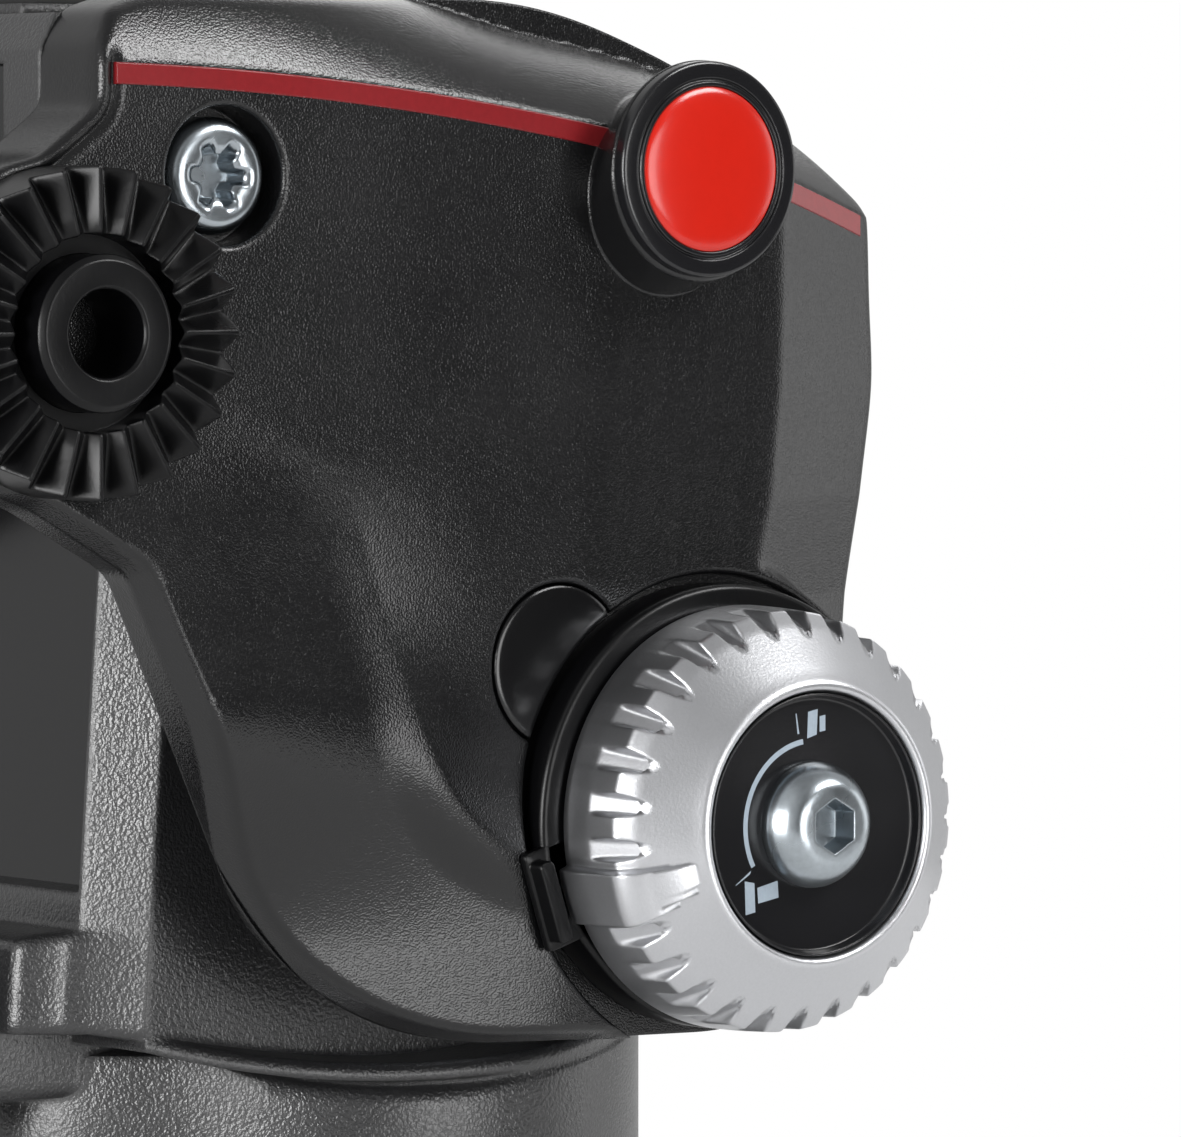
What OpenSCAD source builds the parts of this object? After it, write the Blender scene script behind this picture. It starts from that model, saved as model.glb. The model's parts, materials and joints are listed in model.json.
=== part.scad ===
// Two-way pan tilt head: a tilt body of two moulded cheeks rocks on a cast stem that pans on a base.
// Frame: origin at the mouth of the tripod thread, on the pan axis.
// +Z is up, +Y to the front, +X to the side with the tilt knob.

/* [Base] */
// Diameter of the base plate
base_d = 60; // [58:1:70]
// Height of the base plate
base_h = 9; // [8:0.5:10]
// Major diameter of the tripod thread
thread_d = 9.525; // [6.35:0.005:9.525]
// Outer diameter of the brass thread insert
insert_d = 15; // [13:0.5:18]
// Width of the friction pad under the base
pad_w = 10; // [6:0.5:11]
// Thickness of the friction pad
pad_t = 1; // [0.8:0.1:2]
// Height of the degree scale ring
ring_h = 5; // [4:0.5:6]
// Diameter of the pan spindle
spindle_d = 16; // [14:0.5:17]
// Diameter of the spindle flange
flange_d = 36; // [32:1:38]
// Diameter of the three flange screws' shanks
flange_screw_d = 3; // [2.5:0.5:4]

/* [Stem] */
// Diameter of the pan housing
housing_d = 52.4; // [50:0.2:53]
// Height of the housing rim at the sides, above the base
rim_z = 39.3; // [37:0.1:40.5]
// Width of the stem across the cheeks
stem_w = 38; // [34:0.5:39]
// Chamfer on the stem's rear corners
stem_chamfer = 4; // [2:0.5:6]
// Reach of the stem's foot behind the pan axis
foot_rear = 36.4; // [34:0.1:38]
// Lean of the stem's rear face towards the front
rear_lean = 3.4; // [1:0.1:5]
// Wall of the stem around its rear cavity
stem_wall = 4; // [3:0.5:5]
// Wall of the pan and axle bushes
bush_wall = 2.5; // [2:0.25:3]

/* [Pan knob] */
// Height of the pan knob's axis
pan_knob_z = 43; // [42:0.5:44]
// Diameter of the pan knob
pan_knob_d = 22; // [18:0.5:23]
// Length of the pan knob
pan_knob_len = 10.5; // [8:0.5:11]
// Diameter of the pan knob's screw
pan_screw_d = 6; // [5:0.5:6]
// Length of the boss that carries the pan knob
boss_len = 6.8; // [5:0.1:7.5]

/* [Tilt axis] */
// Distance of the tilt axis in front of the pan axis
tilt_y = 14; // [13:0.5:16]
// Height of the tilt axis
tilt_z = 60; // [59:0.5:64]
// Diameter of the tilt axle
axle_d = 14; // [12:0.5:14]
// Diameter of the axle's knob end
tail_d = 8; // [7:0.5:9]
// Diameter of the friction discs
disc_d = 32; // [28:0.5:34]

/* [Tilt body] */
// Width of the tilt body across the cheek faces
body_w = 72; // [71:0.5:80]
// Thickness of a cheek
cheek_t = 9; // [8.5:0.1:9.2]
// Wall of the moulded cheek
cheek_wall = 3; // [2.5:0.25:4]
// Reach of the tilt body in front of the tilt axis
reach_front = 22.2; // [21:0.2:26]
// Reach of the tilt body's rear wall behind the tilt axis
reach_rear = 61; // [60:0.5:66]
// Rise of the shoulders above the tilt axis
rise = 68; // [67.5:0.5:74]
// Radius of the cheek's lower end around the tilt axis
low_r = 18.4; // [18:0.2:20]
// Height of the raised flank over the cheek face
flank_h = 1.3; // [0.6:0.1:2]
// Height of the coloured stripe
stripe_h = 1.75; // [1:0.05:3]
// Diameter of the badge dome
badge_d = 13.6; // [11:0.1:15]
// Height of the badge boss over the cheek face
badge_h = 5; // [3:0.5:7]
// Diameter of the flush cap
cap_d = 13.4; // [11:0.2:14]
// Shank diameter of the cheek screws
cheek_screw_d = 5; // [4:0.5:5]

/* [Rosettes] */
// Outer diameter of the toothed rosette
rosette_d = 26.4; // [24:0.2:27.6]
// Bore for the handle bolt
rosette_bore_d = 7; // [6:0.1:8]
// Outer diameter of the rosette bush
rosette_bush_d = 12.5; // [11:0.1:14]
// Number of teeth on a rosette
rosette_teeth = 24; // [16:1:30]
// Height of the teeth
tooth_h = 2.2; // [1:0.1:3]

/* [Tilt knob] */
// Diameter of the tilt knob
knob_d = 35.5; // [32:0.5:36.5]
// Diameter of the lip around the knob's disc
lip_d = 23; // [21:0.5:24]
// Number of finger scoops on the knob
scoops = 29; // [20:1:40]
// Diameter of the knob screw's head
knob_head_d = 10.5; // [9:0.1:12]

/* [Plate] */
// Length of the camera plate
plate_len = 48; // [42:0.5:48]
// Width of the camera plate at its foot
plate_w = 42; // [38:0.5:42]
// Thickness of the camera plate
plate_t = 7; // [6.5:0.25:7.5]
// Diameter of the camera screw
camera_screw_d = 6.35; // [6.35:0.005:9.525]
// Length of the camera screw over the pad
camera_screw_len = 5.5; // [4:0.25:7]

/* [Hidden] */
$fn = 96;

black_plastic = [0.09, 0.09, 0.1];
powder_coat = [0.14, 0.14, 0.15];
satin_silver = [0.75, 0.75, 0.77];
zinc = [0.8, 0.82, 0.85];
steel = [0.6, 0.61, 0.63];
brass = [0.78, 0.62, 0.3];
signal_red = [0.75, 0.1, 0.08];
rubber_black = [0.05, 0.05, 0.05];

// Clearances: run between turning pieces, free between bodies, slack around fitted covers, over past a cut
run = 0.05;
free = 0.3;
slack = 0.15;
over = 1;

// Stack of the base along the pan axis
flange_h = 4;
washer_h = 1.1;
ring_r = housing_d / 2 + 1;
housing_z = base_h + ring_h + 0.4;
washer_z = base_h + flange_h;
clip_h = 1.2;
clip_z = pan_knob_z + 4.9;
spindle_top = clip_z + clip_h + 0.9;
clip_r = spindle_d / 2 + 2;
pocket_top = spindle_top + 0.6;
bush_h = 8;
bush_r = spindle_d / 2 + bush_wall;

// Stem: the foot overhangs the housing at the rear
foot_z = rim_z + 3.2;
stem_top = tilt_z + 32;
stem_boss_r = 20;
cover_z0 = foot_z + 12;
cover_z1 = stem_top - 6;
cover_sunk = 2;
cover_t = 2.5;
cover_w = stem_w - 2 * stem_chamfer - 1;
boss_w = 15;
boss_z0 = pan_knob_z - 6.5;
boss_z1 = pan_knob_z + 8;
boss_end = -foot_rear - boss_len;
slug_r = 3.9;
slug_end = -spindle_d / 2 - 6;

// Tilt body: planes across X
face_x = body_w / 2;
inner_x = face_x - cheek_t;
stem_x = stem_w / 2;
disc_t = 2;
axle_r = axle_d / 2;
axle_bush_r = axle_r + bush_wall;
recess_r = 20.2;
recess_x = face_x - 2;
guard_r = recess_r - 0.8;
guard_x = face_x + 2;

// Tilt body: heights
shoulder_z = tilt_z + rise;
pad_h = 1;
plate_z = shoulder_z + 0.4 - pad_h - plate_t;
floor_t = 3;
rear_y = tilt_y - reach_rear;
rear_wall_t = 3;
plate_rear = rear_y + rear_wall_t + 0.4;
plate_front = plate_rear + plate_len;
hood_y = plate_front + 1.3;
plate_mid = (plate_rear + plate_front) / 2;

// Rosette lug, badge, cap and rear cheek screw, measured from the tilt axis
lug = [-reach_rear - 4, 0.603 * rise];
lug_r = rosette_d / 2 + 0.8;
badge = [-0.234 * reach_front, 0.794 * rise];
badge_r = badge_d / 2 + 2.6;
cap = [-16, 13];
rear_screw = [-0.807 * reach_rear, 0.785 * rise];
screw_head_r = cheek_screw_d * 0.95;
screw_head_h = 3.2;
screw_seat_x = face_x - 4;
screw_end_x = stem_x + 0.6;
screw_boss_r = cheek_screw_d / 2 + 3;

// Tilt knob: planes along the tilt axis
knob_x0 = guard_x + free;
knob_x1 = face_x + 14.5;
knob_disc_x = knob_x1 - 1.9;
tail_end = knob_x1 - 4.5;
tab_angle = 197;

// Clamp: jaws and lever
jaw_slope = 2;
jaw_low = 1;
jaw_mid = 4;
jaw_h = 5.6;
lever_pivot = [-inner_x - 4.5, plate_front - 10];
cam_reach = lever_pivot[0] + plate_w / 2 + free;
cam_y0 = lever_pivot[1] - 12;
cam_y1 = lever_pivot[1] + 4.8;
lever_tip = [lever_pivot[0] - 0.7, plate_rear + 5];
lever_z0 = plate_z + 0.6;
lever_z1 = shoulder_z - 1;
notch_z = plate_z - 0.2;

// Point on a circle, and an arc of n points about a centre
function polar(r, a) = [r * cos(a), r * sin(a)];
function arc(c, r, a0, a1, n) = [for (i = [0 : n - 1]) c + polar(r, a0 + (a1 - a0) * i / (n - 1))];

// Smooth curve through key points of any length: Catmull-Rom, n points per span
function knot(p, i) = p[max(0, min(len(p) - 1, i))];
function catmull(a, b, c, d, t) =
    0.5 * (2 * b + (c - a) * t + (2 * a - 5 * b + 4 * c - d) * t * t + (3 * b - a - 3 * c + d) * t * t * t);
function smooth(p, n) = concat(
    [for (i = [0 : len(p) - 2], k = [0 : n - 1])
        catmull(knot(p, i - 1), knot(p, i), knot(p, i + 1), knot(p, i + 2), k / n)],
    [p[len(p) - 1]]);

// Crown of a spherical cap of radius r and height h, from its rim to its top, as points (radius, height)
function crown_pts(r, h, n) = let (ball = (r * r + h * h) / (2 * h), a = asin(r / ball))
    [for (i = [0 : n]) [ball * sin(a * (1 - i / n)), ball * cos(a * (1 - i / n)) - ball + h]];

// Cheek outline seen from the side, measured from the tilt axis.
// The stripe is a shallow arc along the foot of the shoulder.
stripe_c = [-67, rise - 315.2];
stripe_r = 309.7;
heel_r = 29;
heel = [-22, heel_r - low_r + 0.3];
heel_turn = 204;
heel_run = 24.5;
heel_point = heel + polar(heel_r, heel_turn);
heel_end = heel_point + polar(heel_run, heel_turn - 90);
brow = [0.9 * reach_front, 0.765 * rise];
slope_mid = [0.56 * reach_front, 0.844 * rise];
slope_top = [-0.04 * reach_front, 0.94 * rise];
crest = [-0.243 * reach_rear, 0.997 * rise];
front_line = smooth([
    [low_r, 0.03 * rise], [0.86 * reach_front, 0.232 * rise], [0.946 * reach_front, 0.404 * rise],
    [reach_front, 0.524 * rise], [0.977 * reach_front, 0.632 * rise], [0.955 * reach_front, 0.738 * rise],
    brow, slope_mid, slope_top, crest, [-0.557 * reach_rear, rise], [-0.9 * reach_rear, rise]], 3);
module outline() {
    circle(r = low_r);
    translate(heel) circle(r = heel_r);
    translate(lug) circle(r = lug_r);
    polygon(concat(front_line, [
        [-0.967 * reach_rear, 0.982 * rise], [-reach_rear, 0.934 * rise], [-reach_rear, 0.868 * rise],
        [lug[0], lug[1] + lug_r - 1],
        lug, [lug[0] + 1, lug[1] - lug_r + 1], heel_end, heel_point, heel, [0, -low_r / 2]]));
}

// Plan line of the cheek's outer skin at depth d: flat at the rear, turned in as a facet towards the front
facet_y = 7;
facet_slope = 0.41;
facet_run = 30;
function skin_line(d) = [
    [face_x - d, -reach_rear * 2], [face_x - d, facet_y - d * facet_slope / 2],
    [face_x - d - facet_slope * facet_run, facet_y - d * facet_slope / 2 + facet_run]];

// Axis helpers: cylinders along X and Y, and prisms drawn in the side (Y, Z) or front (X, Z) view
module xcyl(r, x0, x1) {
    translate([x0, 0, 0]) rotate([0, 90, 0]) cylinder(r = r, h = x1 - x0);
}
module ycyl(r, y0, y1) {
    translate([0, y0, 0]) rotate([-90, 0, 0]) cylinder(r = r, h = y1 - y0);
}
module side_prism(x0, x1) {
    translate([x0, 0, 0]) rotate([90, 0, 90]) linear_extrude(x1 - x0) children();
}
module front_prism(y0, y1) {
    translate([0, y1, 0]) rotate([90, 0, 0]) linear_extrude(y1 - y0) children();
}
module box(lo, hi) {
    translate(lo) cube(hi - lo);
}
// Places children at a point of the side view measured from the tilt axis
module at_axis(p = [0, 0]) {
    translate([0, tilt_y + p[0], tilt_z + p[1]]) children();
}
// Turns a profile (radius, x) about the X axis
module xturn() {
    rotate([90, 0, 90]) rotate_extrude() children();
}

// Base body

module base_plate() {
    color(powder_coat) difference() {
        rotate_extrude() polygon([
            [0, 0], [base_d / 2 - 1, 0], [base_d / 2, 1], [base_d / 2, base_h - 2],
            [base_d / 2 - 2, base_h], [0, base_h]]);
        translate([0, 0, -over]) cylinder(d = insert_d, h = base_h + 2 * over);
        base_pad_shape();
        flange_screw_shapes();
    }
}

module base_pad_shape() {
    rotate_extrude() translate([base_d / 2 - 2.5 - pad_w, 0]) square([pad_w, pad_t]);
}

module base_pad() {
    color(rubber_black) base_pad_shape();
}

module thread_insert() {
    color(brass) difference() {
        cylinder(d = insert_d, h = base_h);
        translate([0, 0, -over]) cylinder(d = thread_d, h = base_h + 2 * over);
    }
}

module pan_spindle() {
    color(steel) difference() {
        rotate_extrude() polygon([
            [0, base_h], [flange_d / 2, base_h], [flange_d / 2, washer_z], [spindle_d / 2, washer_z],
            [spindle_d / 2, clip_z], [spindle_d / 2 - 0.8, clip_z], [spindle_d / 2 - 0.8, clip_z + clip_h],
            [spindle_d / 2, clip_z + clip_h], [spindle_d / 2, spindle_top - 0.5],
            [spindle_d / 2 - 0.5, spindle_top], [0, spindle_top]]);
        flange_screw_shapes();
    }
}

// Three countersunk screws from the flange into the base plate
module flange_screw_shapes() {
    head_h = flange_screw_d * 0.6;
    screw_pcd_r = (spindle_d + flange_d) / 4;
    for (a = [30, 150, 270]) rotate(a) translate([screw_pcd_r, 0, 0]) rotate_extrude() polygon([
        [0, pad_t + 2], [flange_screw_d / 2, pad_t + 2], [flange_screw_d / 2, washer_z - head_h],
        [flange_screw_d, washer_z], [0, washer_z]]);
}

module flange_screws() {
    color(zinc) flange_screw_shapes();
}

module pan_scale_ring() {
    color(satin_silver) rotate_extrude() polygon([
        [flange_d / 2 + slack, base_h], [ring_r, base_h], [ring_r, base_h + ring_h - 0.8],
        [ring_r - 0.8, base_h + ring_h], [flange_d / 2 + slack, base_h + ring_h]]);
}

module thrust_washer() {
    color(brass) translate([0, 0, washer_z]) difference() {
        cylinder(d = flange_d - 1, h = washer_h);
        translate([0, 0, -over]) cylinder(d = spindle_d, h = washer_h + 2 * over);
    }
}

module retaining_ring() {
    color(steel) translate([0, 0, clip_z]) difference() {
        cylinder(r = clip_r, h = clip_h);
        translate([0, 0, -over]) cylinder(r = spindle_d / 2 - 0.8, h = clip_h + 2 * over);
        box([-1.5, 0, -over], [1.5, clip_r + over, clip_h + over]);
    }
}

// Pan body

// Rear face of the stem at height z
function rear_at(z) = -foot_rear + rear_lean * (z - foot_z) / (stem_top - foot_z);

module stem_side() {
    polygon([
        [rear_at(rim_z), rim_z], [rear_at(stem_top - 5), stem_top - 5], [rear_at(stem_top) + 5, stem_top],
        [tilt_y - 12, stem_top], [tilt_y + 10, tilt_z + 16], [tilt_y + 14, tilt_z], [tilt_y + 8, rim_z]]);
    translate([tilt_y, tilt_z]) circle(r = stem_boss_r);
}

module stem_plan() {
    polygon([
        [-stem_x, housing_d], [-stem_x, -foot_rear + stem_chamfer], [-stem_x + stem_chamfer, -foot_rear],
        [stem_x - stem_chamfer, -foot_rear], [stem_x, -foot_rear + stem_chamfer], [stem_x, housing_d]]);
}

// Saddle that shapes the housing rim: a large cylinder lying across the head
module saddle(grow) {
    saddle_r = 100;
    translate([0, -4, rim_z + saddle_r]) xcyl(saddle_r + grow, -housing_d, housing_d);
}

module housing() {
    difference() {
        translate([0, 0, housing_z]) cylinder(d = housing_d, h = foot_z + 4 - housing_z);
        saddle(0);
        difference() {
            saddle(2.3);
            saddle(1.2);
            cylinder(d = housing_d - 1.6, h = shoulder_z);
        }
    }
}

// Slab that follows the stem's rear face, from depth d0 to depth d1 below it
module rear_slab(w, d0, d1) {
    side_prism(-w / 2, w / 2) polygon([
        [rear_at(cover_z0) + d0, cover_z0], [rear_at(cover_z1) + d0, cover_z1],
        [rear_at(cover_z1) + d1, cover_z1], [rear_at(cover_z0) + d1, cover_z0]]);
}

module stem_casting() {
    cavity_x = cover_w / 2 - 2;
    color(powder_coat) difference() {
        union() {
            housing();
            intersection() {
                side_prism(-stem_x, stem_x) stem_side();
                linear_extrude(stem_top + over) stem_plan();
                saddle(0.05);
            }
            box([-boss_w / 2, boss_end, boss_z0], [boss_w / 2, -spindle_d, boss_z1]);
        }
        translate([0, 0, housing_z - over]) cylinder(r = bush_r, h = bush_h + over);
        translate([0, 0, housing_z]) cylinder(d = spindle_d + 2 * free, h = clip_z - housing_z);
        translate([0, 0, rim_z - bush_h - 3]) cylinder(r = bush_r, h = bush_h);
        translate([0, 0, clip_z - free]) cylinder(r = clip_r + free, h = pocket_top - clip_z + free);
        rear_slab(cover_w, -4, cover_sunk + cover_t);
        box([-cavity_x, -foot_rear, cover_z0 + 2],
            [cavity_x, tilt_y - stem_boss_r + stem_wall, cover_z1 - 2]);
        translate([0, 0, pocket_top - over]) box(
            [-clip_r, -foot_rear + stem_wall * 2, 0], [clip_r, 0, cover_z0 + 3 - pocket_top + over]);
        translate([0, 0, pan_knob_z]) {
            ycyl(slug_r, slug_end, -spindle_d / 4);
            ycyl(pan_screw_d / 2 + run, boss_end - over, slug_end + over);
        }
        at_axis() xcyl(axle_r, -stem_x - over, stem_x + over);
        at_axis() ycyl(grub_r, 0, stem_boss_r + over);
    }
}

module stem_rear_cover() {
    color(black_plastic) rear_slab(cover_w, cover_sunk, cover_sunk + cover_t);
}

module pan_bush(z) {
    color(brass) translate([0, 0, z]) difference() {
        cylinder(r = bush_r, h = bush_h);
        translate([0, 0, -over]) cylinder(d = spindle_d + 2 * run, h = bush_h + 2 * over);
    }
}

module pan_bush_lower() {
    pan_bush(housing_z);
}

module pan_bush_upper() {
    pan_bush(rim_z - bush_h - 3);
}

module brake_slug() {
    color(brass) translate([0, 0, pan_knob_z]) difference() {
        ycyl(slug_r, slug_end, -spindle_d / 2 + 1);
        translate([0, 0, -slug_r - over]) cylinder(d = spindle_d + 2 * free, h = 2 * slug_r + 2 * over);
    }
}

grub_r = 2.5;
module tilt_axle() {
    color(steel) at_axis() difference() {
        xturn() polygon([
            [0, -inner_x - 6], [axle_r - 0.5, -inner_x - 6], [axle_r, -inner_x - 5.5],
            [axle_r, inner_x + 6],
            [tail_d / 2, inner_x + 6], [tail_d / 2, tail_end], [0, tail_end]]);
        xcyl(knob_screw_r + run, tail_end - 8, tail_end + over);
        ycyl(grub_r, axle_r - 1, axle_r + over);
    }
}

module axle_grub_screw() {
    color(steel) at_axis() difference() {
        ycyl(grub_r, axle_r - 1, axle_r + 8);
        translate([0, axle_r + 8 - 2.5, 0]) rotate([-90, 0, 0]) cylinder(r = 1.45, h = 4, $fn = 6);
    }
}

module friction_disc_right() {
    color(steel) at_axis() difference() {
        xcyl(disc_d / 2, stem_x, stem_x + disc_t);
        xcyl(axle_r, stem_x - over, stem_x + disc_t + over);
    }
}

module friction_disc_left() {
    mirror([1, 0, 0]) friction_disc_right();
}

// Pan knob

knob_gap = 0.5;
pan_y0 = boss_end - knob_gap;
pan_y1 = pan_y0 - pan_knob_len;

module pan_knob() {
    flutes = 12;
    color(black_plastic) translate([0, 0, pan_knob_z]) difference() {
        rotate([90, 0, 0]) rotate_extrude() polygon([
            [pan_screw_d / 2, -pan_y0], [pan_knob_d / 2 - 3, -pan_y0], [pan_knob_d / 2 - 2, -pan_y0 + 2.5],
            [pan_knob_d / 2, -pan_y0 + 3.5], [pan_knob_d / 2, -pan_y1 - 1.5],
            [pan_knob_d / 2 - 1.5, -pan_y1],
            [pan_cap_r, -pan_y1], [pan_cap_r, -pan_y1 - pan_cap_t],
            [pan_screw_d / 2, -pan_y1 - pan_cap_t]]);
        for (i = [0 : flutes - 1]) rotate([0, i * 360 / flutes, 0])
            translate([pan_knob_d / 2 + 1.4, 0, 0]) ycyl(2.4, pan_y1 - over, pan_y0 - 4);
    }
}

pan_cap_r = 6.5;
pan_cap_t = 1.2;
module pan_knob_cap() {
    color(satin_silver) translate([0, 0, pan_knob_z]) ycyl(pan_cap_r, pan_y1, pan_y1 + pan_cap_t);
}

module pan_knob_screw() {
    color(zinc) translate([0, 0, pan_knob_z]) ycyl(pan_screw_d / 2, pan_y1 + pan_cap_t, slug_end - free);
}

// Tilt body: cheeks

// Everything outside the front facet, kept off the drum around the axle
module facet_cut() {
    difference() {
        at_axis() translate([0, 0, -low_r]) linear_extrude(rise + 2 * low_r) polygon(concat(
            skin_line(0), [[face_x + 2 * badge_h, facet_run + facet_y], [face_x + 2 * badge_h, facet_y]]));
        at_axis() xcyl(recess_r + 1, 0, face_x + badge_h);
    }
}

// Everything outside the rounded shoulder, which turns about the stripe's centre
shoulder_h = 10.5;
module shoulder_cut() {
    lean = 12;
    steps = 6;
    depth = cheek_t - 1;
    round = [for (i = [0 : steps]) let (a = lean + (90 - lean) * i / steps)
        [stripe_r + 0.2 + shoulder_h * (sin(a) - sin(lean)),
            face_x - depth * (cos(lean) - cos(a)) / cos(lean)]];
    at_axis(stripe_c) xturn() polygon(concat(
        round, [[stripe_r + 2 * shoulder_h, inner_x + 1], [stripe_r + 2 * shoulder_h, face_x + over],
        [stripe_r + 0.2, face_x + over]]));
}

// Chamfer along the heel: a cone around the heel and a sloping plane up to the rosette
heel_top = heel_run + 7;
heel_cut = [[-2, flank_h + 0.1], [0.3, -3.3], [6, -3.3], [6, flank_h + 0.1]];
module heel_chamfer() {
    intersection() {
        at_axis(heel) xturn() polygon([for (q = heel_cut) [heel_r + q[0], face_x + q[1]]]);
        at_axis(heel) rotate([heel_turn, 0, 0]) box([0, 0, 0], [2 * face_x, 2 * heel_r, 2 * heel_r]);
    }
    at_axis(heel) rotate([heel_turn, 0, 0]) translate([0, 0, -heel_top]) linear_extrude(heel_top) polygon([
        for (q = heel_cut) [face_x + q[1], heel_r + q[0]]]);
}

// Flank: the part of the cheek below a soft step that runs from the rosette to the knob
step_line = smooth([
    [lug[0] + 10, lug[1] - 8], [-44.6, 33], [-36.5, 26.3], [-33.3, 16.8], [-28.4, 4.7], [-24.3, -0.4],
    [-recess_r + 2, -2.8]], 3);
module flank_area() {
    difference() {
        intersection() {
            outline();
            polygon(concat(step_line, [[-recess_r + 4, -low_r * 2], [lug[0], -low_r * 2]]));
        }
        translate(lug) circle(r = rosette_d / 2 + slack);
    }
}

module cheek_screw_places() {
    at_axis(rear_screw) children();
    at_axis(badge) children();
}

// Pocket behind the face, clear of the axle, the lug, the cap and the two screw seats
module cheek_pocket() {
    rear = -reach_rear + 5;
    at_axis() side_prism(inner_x - over, face_x - cheek_wall - 1.5) difference() {
        polygon([
            [rear, 0.838 * rise], [-16, 0.78 * rise], [facet_y, 0.706 * rise], [facet_y + 3, 0.368 * rise],
            [-20, -12], [-36, -8], [-45, 6], [rear + 4, 22]]);
        circle(r = recess_r + 2);
        translate(lug) circle(r = lug_r);
        translate(badge) circle(r = badge_r + 1);
        translate(rear_screw) circle(r = screw_head_r + 3);
        translate(cap) circle(r = cap_d / 2 + 2);
    }
}

module cheek(stripe_from) {
    difference() {
        union() {
            difference() {
                at_axis() side_prism(inner_x, face_x) outline();
                facet_cut();
                shoulder_cut();
            }
            at_axis() side_prism(face_x - 1, face_x + flank_h) flank_area();
            at_axis(badge) xcyl(badge_r, inner_x + 3, face_x + badge_h);
        }
        heel_chamfer();
        cheek_pocket();
        at_axis() xcyl(axle_bush_r, inner_x - over, face_x);
        at_axis() xcyl(recess_r, recess_x, face_x + 2 * flank_h);
        at_axis(cap) xcyl(cap_d / 2 + slack, face_x - 3, face_x + over);
        at_axis(lug) xcyl(rosette_bush_d / 2, inner_x - over, face_x + over);
        cheek_screw_places() xcyl(cheek_screw_d / 2, inner_x - over, face_x);
        at_axis(rear_screw) xcyl(screw_head_r + 0.9, screw_seat_x, face_x + over);
        at_axis(badge) xcyl(screw_head_r + 0.3, screw_seat_x, face_x + badge_h + over);
        stripe_shape(stripe_from);
    }
}

module right_cheek() {
    color(black_plastic) cheek(stripe_rear);
}

module left_cheek() {
    color(black_plastic) difference() {
        mirror([1, 0, 0]) cheek(stripe_notch);
        box([-face_x - 10, plate_rear + 1, notch_z],
            [-inner_x + over, lever_pivot[1] + 5, shoulder_z + over]);
        mirror([1, 0, 0]) hub_screw_shapes();
        translate([lever_pivot[0], lever_pivot[1], notch_z - 3]) cylinder(r = pin_r, h = 4);
    }
}

// Stripe: a band let into the skin along the foot of the shoulder, open where the badge boss stands
stripe_t = 0.6;
stripe_proud = 0.1;
stripe_rear = -reach_rear + 1.6;
stripe_notch = -21;
stripe_front = 0.86 * reach_front;
module stripe_shape(stripe_from) {
    intersection() {
        at_axis() side_prism(inner_x, face_x + over) difference() {
            translate(stripe_c) circle(r = stripe_r, $fn = 360);
            translate(stripe_c) circle(r = stripe_r - stripe_h, $fn = 360);
            translate(badge) circle(r = badge_r + 0.4);
            translate([-2 * stripe_r, -2 * stripe_r]) square([2 * stripe_r + stripe_from, 4 * stripe_r]);
            translate([stripe_front, -2 * stripe_r]) square(4 * stripe_r);
            translate([-2 * stripe_r, -4 * stripe_r]) square(4 * stripe_r);
        }
        at_axis() linear_extrude(rise) polygon(concat(
            skin_line(stripe_t), [for (i = [2 : -1 : 0]) skin_line(-stripe_proud)[i]]));
    }
}

module right_stripe() {
    color(signal_red) stripe_shape(stripe_rear);
}

module left_stripe() {
    color(signal_red) mirror([1, 0, 0]) stripe_shape(stripe_notch);
}

ring_t = 1;
module right_badge_ring() {
    color(rubber_black) at_axis(badge) translate([face_x + badge_h, 0, 0]) difference() {
        xturn() polygon([
            [0, 0], [badge_r - 0.5, 0], [badge_r - 0.5, ring_t - 0.4], [badge_r - 0.9, ring_t],
            [0, ring_t]]);
        xcyl(badge_d / 2 + 0.1, 0.4, ring_t + over);
    }
}

module left_badge_ring() {
    mirror([1, 0, 0]) right_badge_ring();
}

// Dome: a spherical cap over a low rim
module right_badge_dome() {
    rim = 0.7;
    crown = crown_pts(badge_d / 2, 0.7, 6);
    color(signal_red) at_axis(badge) translate([face_x + badge_h + 0.4, 0, 0]) xturn() polygon(concat(
        [[0, 0], [badge_d / 2, 0]], [for (q = crown) [q[0], q[1] + rim]]));
}

module left_badge_dome() {
    mirror([1, 0, 0]) right_badge_dome();
}

// Rosette: a disc whose face carries radial teeth, cut by a wheel of grooves
rosette_t = 3.8;
module right_rosette() {
    tooth_in = rosette_bush_d / 2 + 1.6;
    groove_w = 2 * PI * tooth_in / rosette_teeth * 0.8;
    color(black_plastic) at_axis(lug) translate([face_x, 0, 0]) difference() {
        xcyl(rosette_d / 2, 0, rosette_t + tooth_h);
        xcyl(rosette_bush_d / 2, -over, rosette_t + tooth_h + over);
        xcyl(tooth_in, rosette_t - 0.5, rosette_t + tooth_h + over);
        for (i = [0 : rosette_teeth - 1]) rotate([(i + 0.5) * 360 / rosette_teeth, 0, 0])
            translate([0, 0, tooth_in - 1]) linear_extrude(rosette_d) polygon([
                [rosette_t, 0], [rosette_t + tooth_h + 0.1, groove_w / 2],
                [rosette_t + tooth_h + 0.1, -groove_w / 2]]);
    }
}

module left_rosette() {
    mirror([1, 0, 0]) right_rosette();
}

bush_proud = 7;
module right_rosette_bush() {
    color(black_plastic) at_axis(lug) difference() {
        xturn() polygon([
            [0, inner_x], [rosette_bush_d / 2, inner_x], [rosette_bush_d / 2, face_x + bush_proud - 0.5],
            [rosette_bush_d / 2 - 0.5, face_x + bush_proud], [0, face_x + bush_proud]]);
        xcyl(rosette_bore_d / 2, inner_x - over, face_x + bush_proud + over);
    }
}

module left_rosette_bush() {
    mirror([1, 0, 0]) right_rosette_bush();
}

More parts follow.
